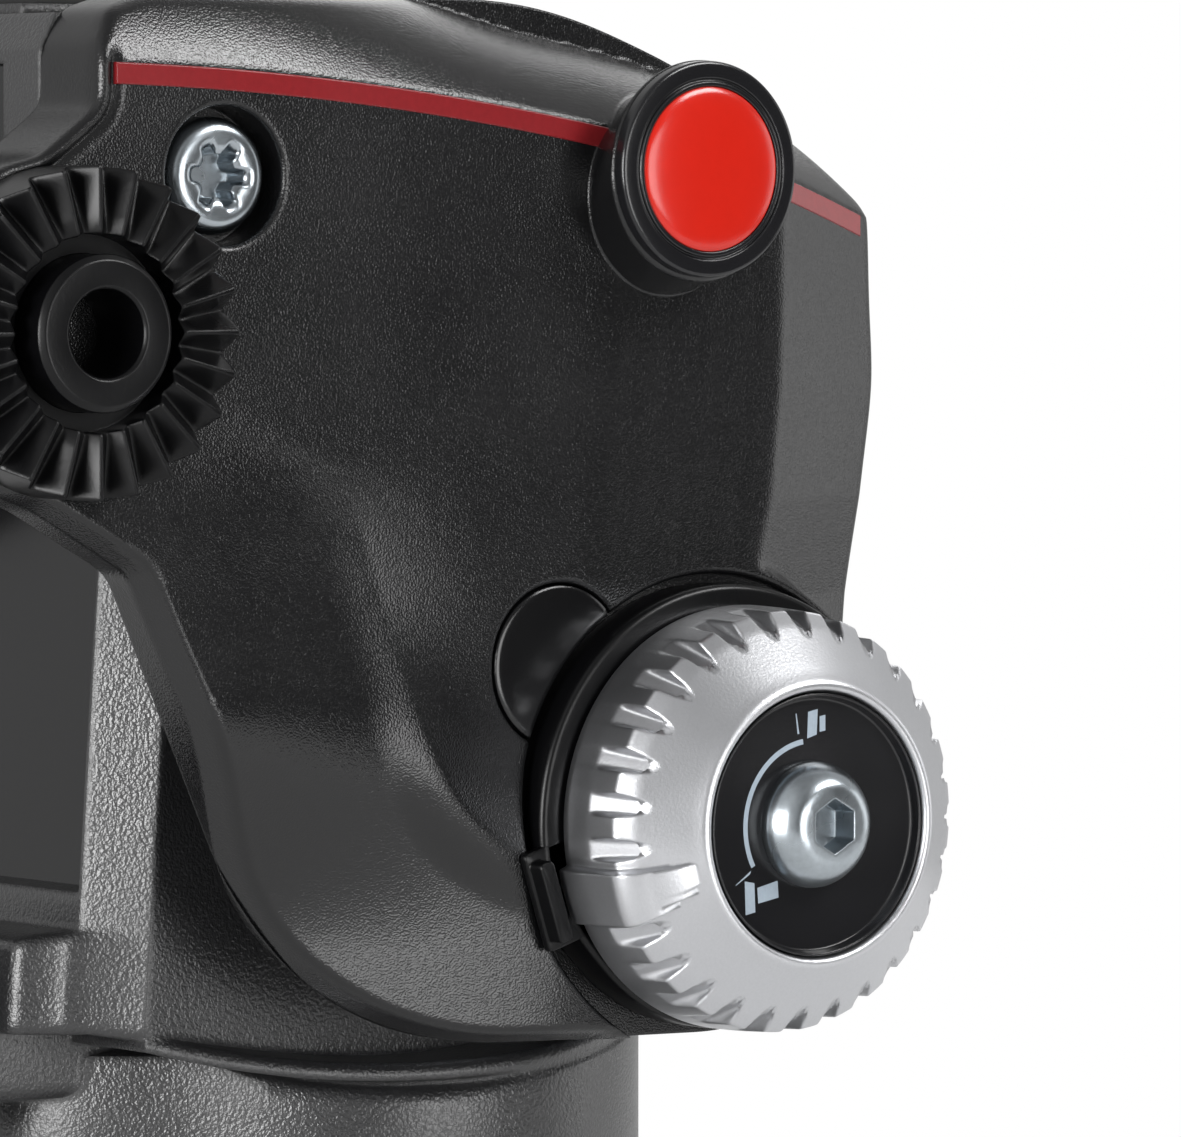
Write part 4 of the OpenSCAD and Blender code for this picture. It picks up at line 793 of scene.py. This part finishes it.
def knob_grip():
    """Grip's surface: the plain section turned about the axis, mixed with the scooped section in each scoop,
    and lifted outward and along the axis where the pointer tab takes the place of a scoop."""
    t = np.linspace(0, TAU, SCOOPS * 40 + 1)
    plain, flat = knob_profile(False), knob_profile(True)
    keys = np.arange(len(plain))
    at = np.sort(np.concatenate([keys, np.linspace(keys[24], keys[64], 90)]))
    plain, flat = (np.stack([np.interp(at, keys, p[:, k]) for k in (0, 1)], -1) for p in (plain, flat))
    plain_r, plain_x = plain[:, :1], plain[:, 1:]
    pitch = TAU / SCOOPS
    off = np.abs((t - TAB + pitch / 2) % pitch - pitch / 2) * KNOB_R
    turn = ((t - TAB + math.pi) % TAU - math.pi) * KNOB_R
    half = SCOOP_HALF * np.sqrt(np.clip(1 - (np.maximum(plain_x - 45.2, 0) / 1.6) ** 4, 0.02, 1))
    scoop = (1 - ramp(off, 0.6 * half, half + 0.12)) * ramp(np.abs(turn), 2.6, 3.0)
    section = plain[:, None] + (flat - plain)[:, None] * scoop[..., None]
    upper = np.interp(plain_r, [11.9, 18], [-1.6, -2.1])
    lower = np.interp(plain_r, [11.9, 15.5, 16.2, 18], [0.3, 2.3, 2.35, 2.4])
    tab = ramp(turn, upper - 0.1, upper + 0.1) * (1 - ramp(turn, lower - 0.1, lower + 0.1))
    on_side = tab * ramp(plain_x, 38.35, 38.6) * ramp(plain_r, 14.6, 17.2)
    on_cone = tab * (ramp(plain_r, 12.4, 14.2) * ramp(plain_x, 44.5, 46.0))
    r = section[..., 0] + TAB_OUT * on_side
    x = section[..., 1] + TAB_UP * on_cone
    return np.stack([x, AXIS[0] + r * np.cos(t), AXIS[1] + r * np.sin(t)], -1)


def printed_arc(radii, angles, n=40):
    """Band of print on the knob's disc between two radii and two angles in degrees."""
    angle = np.radians(angles[0] + (angles[1] - angles[0]) * np.linspace(0, 1, n))[:, None]
    r = radii[0] + (radii[1] - radii[0]) * np.array([0, 1])
    y, z = AXIS[0] + r * np.cos(angle), AXIS[1] + r * np.sin(angle)
    return np.stack([PRINT_X + 0 * y, y, z], -1)


def printed_patch(corners):
    """Four-cornered patch of print on the knob's disc, its corners in two rows."""
    q = np.array(corners, float).reshape(2, 2, 2)
    return np.stack([PRINT_X + 0 * q[..., 0], AXIS[0] + q[..., 0], AXIS[1] + q[..., 1]], -1)


def add_knob(silver, film, zinc, ink):
    """Silver knob with its black disc, a button-head screw, and plain marks for more and less drag."""
    bore = turned([(16.6, KNOB_REAR), (4.1, KNOB_REAR), (4.1, 48.6), (4.2, 48.6)], turns=60)
    make("knob_grip", [knob_grip(), bore], "tilt_knob", silver, ["tilt_knob"], crease=30)
    disc = eased([(2.5, 48.7), (2.5, DISC_X), (10.4, DISC_X), (10.65, 50.0), (10.85, 50.0), (10.85, 48.6)],
                 [0, 0.05, 0.12, 0.08, 0.08, 0])
    make("knob_face_disc", [turned(disc, turns=144)], "tilt_knob", film, ["tilt_knob_disc"])
    head = eased([(2.29, 52.3), (2.5, 52.31), (3.1, 52.25), (3.7, 52.03), (4.4, 51.4), (4.95, 50.5),
                  (5.22, 49.75), (5.25, DISC_X), (3.0, DISC_X), (3.0, 39), (0.1, 39)],
                 [0, 0.15, 0.25, 0.4, 0.4, 0.4, 0.2, 0.05, 0.05, 0.05, 0], 6)
    make("knob_button_screw", [socket_head(AXIS, head, hexagon, 49.9)], "tilt_knob", zinc,
         ["tilt_knob_screw"], crease=40)
    upper_marks = [printed_patch([(-1.55, 7.5), (-1.35, 7.5), (-1.75, 9.2), (-1.65, 9.2)]),
                   printed_patch([(-0.55, 7.1), (0.45, 7.4), (-0.45, 9.3), (0.55, 9.5)]),
                   printed_patch([(0.75, 7.6), (1.35, 7.7), (0.75, 8.9), (1.35, 9.0)])]
    lower_marks = [printed_patch([(-6.35, -3.55), (-6.45, -3.85), (-7.9, -4.65), (-7.95, -4.75)]),
                   printed_patch([(-6.0, -4.6), (-7.0, -4.4), (-5.9, -7.0), (-6.9, -7.2)]),
                   printed_patch([(-5.7, -5.0), (-3.6, -4.5), (-5.6, -6.3), (-3.5, -5.9)])]
    make("knob_drag_marks", [printed_arc((6.7, 7.15), (98, 208)), *upper_marks, *lower_marks], "tilt_knob",
         ink, crease=60)


# Cast stem

STEM_LOW, STEM_TOP, STEM_LEAN, STEM_HALF = 42.5, 92.0, 3.4, 19.0
HOUSING_R, LIP_R = 26.2, 1.1
# Rear corner of the flange, measured from the pan axis: to the side and to the rear
FLANGE_SIDE, FLANGE_REAR = 19.3, 32.0


def stem_rear(z):
    """Rear face of the stem at height z: it leans forward evenly."""
    return -36.4 + STEM_LEAN * (z - STEM_LOW) / (STEM_TOP - STEM_LOW)


def rim_z(y):
    """Height of the flange's edge: a saddle, lowest a little behind the pan axis, rising with the square of
    the distance to the rear and, less, to the front."""
    far = np.clip(y, -34, 24) + 9
    return 39.6 + np.where(far < 0, 0.0060, 0.0042) * far ** 2


def from_rear(t):
    """Angle measured from the rear, from minus to plus half a turn."""
    return (t + math.pi / 2 + math.pi) % TAU - math.pi


def flange_r(t):
    """Plan radius of the flange by angle: a circle, joined by tangents to the stem's two rear corners."""
    u = np.abs(from_rear(t))
    corner = math.atan2(FLANGE_SIDE, FLANGE_REAR)
    touch = corner + math.acos(HOUSING_R / math.hypot(FLANGE_SIDE, FLANGE_REAR))
    tangent = HOUSING_R / np.cos(np.clip(touch - u, 0, 0.8))
    rear = FLANGE_REAR / np.cos(np.minimum(u, 0.6))
    return np.where(u < corner, rear, np.where(u < touch, tangent, HOUSING_R))


def stem_upright():
    """Upright of the stem, with its two ends: half a plan line (rear face, chamfer, side) carried up along Z
    with the leaning rear face and mirrored. A panel is sunk in its rear face, a foot block flares out of it
    below, its lower edge follows the flange, and its first and last rows are drawn in to round the ends."""
    z = np.concatenate([
        [42.0, 42.2, 42.7], np.linspace(43.2, 49.2, 8), [49.8, 50.2, 50.5, 50.75, 50.95, 51.2, 51.8],
        np.linspace(52.5, 54.1, 3), [54.4, 54.8], np.linspace(55.5, 85.2, 24), [85.7, 86.1],
        np.linspace(86.6, 90.4, 5), [91.2, 91.7, 91.95, STEM_TOP]])
    front = np.interp(z, [38, 60, 76, STEM_TOP], [22, 28, 24, 2])
    flat = np.array([0, -4, -8, -11, -11.6, -12.0, -12.3, -12.5, -12.7, -12.9, -13.2, -13.6, -14.0, -14.3,
                     -14.6])
    chamfer = eased([(-14.9, 0), (-15.0, 0), (-18.85, 4.0), (-19.15, 4.3), (-19.15, 6)],
                    [0, 1.3, 0.12, 0.12, 0], 8)
    chamfer = chamfer[chamfer[:, 0] < -14.75]
    rear = stem_rear(z)[:, None] + np.concatenate([0 * flat, chamfer[:, 1]])
    side = rear[:, -1:] + (front[:, None] - rear[:, -1:]) * np.array([0.1, 0.4, 0.8, 1.0])
    half_y = np.concatenate([rear, side], 1)
    half_x = np.broadcast_to(np.concatenate([flat, chamfer[:, 0], [-STEM_HALF] * 4]), half_y.shape)
    wide = np.abs(half_x)
    panel = (ramp(z, 54.3, 54.9) * (1 - ramp(z, 85.6, 86.2)))[:, None] * (1 - ramp(wide, 14.0, 14.6))
    block = np.sqrt(np.clip(1 - np.clip((z - 49.6) / 1.4, 0, 1) ** 2, 0, 1))[:, None]
    flare = np.where(wide > 12.7, np.clip((17.5 - wide) / 4.8, 0, 1) ** 2.2,
                     1.14 - 0.14 * np.clip((wide - 11.0) / 1.7, 0, 1) ** 3)
    half_y = half_y + 2.3 * panel - 4.0 * block * flare
    drawn_in = np.concatenate([[0.5, 0.2], np.zeros(len(z) - 6), [0.25, 0.7, 1.5, 2.2]])[:, None]
    middle = (stem_rear(z) + front)[:, None] / 2
    shrink = 1 - 2 * drawn_in / (front - stem_rear(z))[:, None]
    half_x, half_y = half_x * (1 - drawn_in / STEM_HALF), middle + (half_y - middle) * shrink
    x = np.concatenate([half_x[:, ::-1], -half_x, half_x[:, -1:]], 1)
    y = np.concatenate([half_y[:, ::-1], half_y, half_y[:, -1:]], 1)
    fall = (rim_z(y) - 42.6) * (1 - ramp(z, 42, 56))[:, None]
    upright = np.stack([x, y, z[:, None] + fall], -1)
    ends = [np.stack([row, np.broadcast_to([0, -8, row[:, 2].mean()], row.shape)])
            for row in (upright[0], upright[-1])]
    return [upright, *ends]


def stem_housing():
    """Housing round the pan axis, with its foot: rows from the flange's top over its rounded lip and the
    groove under it down the wall; the groove fades to the front, and the wall bulges at the rear."""
    t = np.linspace(0, TAU, 361)[:, None]
    flange = flange_r(t)
    top = rim_z(flange * np.sin(t))
    bulge = 9.0 * np.exp(-((from_rear(t) / 0.36) ** 2))
    wall = HOUSING_R + 0 * t
    groove = 1 - ramp(np.sin(t), -0.35, 0.3)
    neck = np.minimum(flange - 0.3, wall - 1.25 * groove)
    turn = np.linspace(0, math.pi / 2, 8)
    low = np.array([36.0, 33.0, 30.0, 27.0, 23.0, 19.0, 16.0, 14.4])
    r = np.concatenate([
        0.5 * flange, flange - 2.5, flange - LIP_R + LIP_R * np.sin(turn), flange - 0.2, neck,
        neck + 0.1 * groove, wall - 0.55 * groove + 0.5 * bulge, wall - 0.12 * groove + 0.9 * bulge,
        wall + bulge * ramp(low, 20, 29)], 1)
    level = np.concatenate([
        top + 0.4, top + 0.05, top - LIP_R + LIP_R * np.cos(turn), top - 1.45, top - 1.75, top - 2.0,
        top - 2.25, top - 2.75, np.broadcast_to(low, (len(t), len(low)))], 1)
    housing = np.stack([r * np.cos(t), r * np.sin(t), level], -1)
    foot = np.stack([housing[:, -1], housing[:, -1] * [0.6, 0.6, 1]], 1)
    return [housing, foot]


def pan_knob_boss():
    """Boss of the pan knob: an upright outline with eased corners, carried to the rear, its end drawn in."""
    half, z0, z1, rear, front = 7.5, 36.5, 50.6, -43.2, -20.0
    plan = eased([(0, z0), (half, z0), (half, z1), (-half, z1), (-half, z0), (0, z0)],
                 [0, 1.6, 1.6, 1.6, 1.6, 0], 7)
    reach = np.array([front, rear + 1.2, rear + 0.35, rear, rear, rear])[:, None]
    size = np.array([1, 1, 0.97, 0.9, 0.5, 0.42])[:, None]
    middle = (z0 + z1) / 2
    return np.stack([plan[:, 0] * size, reach + 0 * plan[:, 0], middle + (plan[:, 1] - middle) * size], -1)


def add_stem(finish):
    """Stem casting: its upright, a drum turned round the tilt axis, the housing and the pan knob's boss."""
    drum = turned(eased([(7, -STEM_HALF), (20, -STEM_HALF), (20, STEM_HALF), (7, STEM_HALF)],
                        [0, 1.2, 1.2, 0]), turns=96)
    make("stem_cast_body", [*stem_upright(), drum, *stem_housing(), pan_knob_boss()], "pan_body",
         finish, ["stem_casting"], crease=40)


out = place_camera()
light_studio(out)
lay_floor()
dress_cad()
for side in ("right", "left"):
    add_cheek(side, GRAINED)
    add_stripe(side, RED_PRINT)
    add_cap(side, SMOOTH)
    add_badge(side, FILM, RED_RESIN)
    add_rosette(side, MATT)
    add_cheek_screws(side, ZINC)
add_guard(MATT)
add_knob(SILVER, FILM, ZINC, INK)
add_stem(COATED)
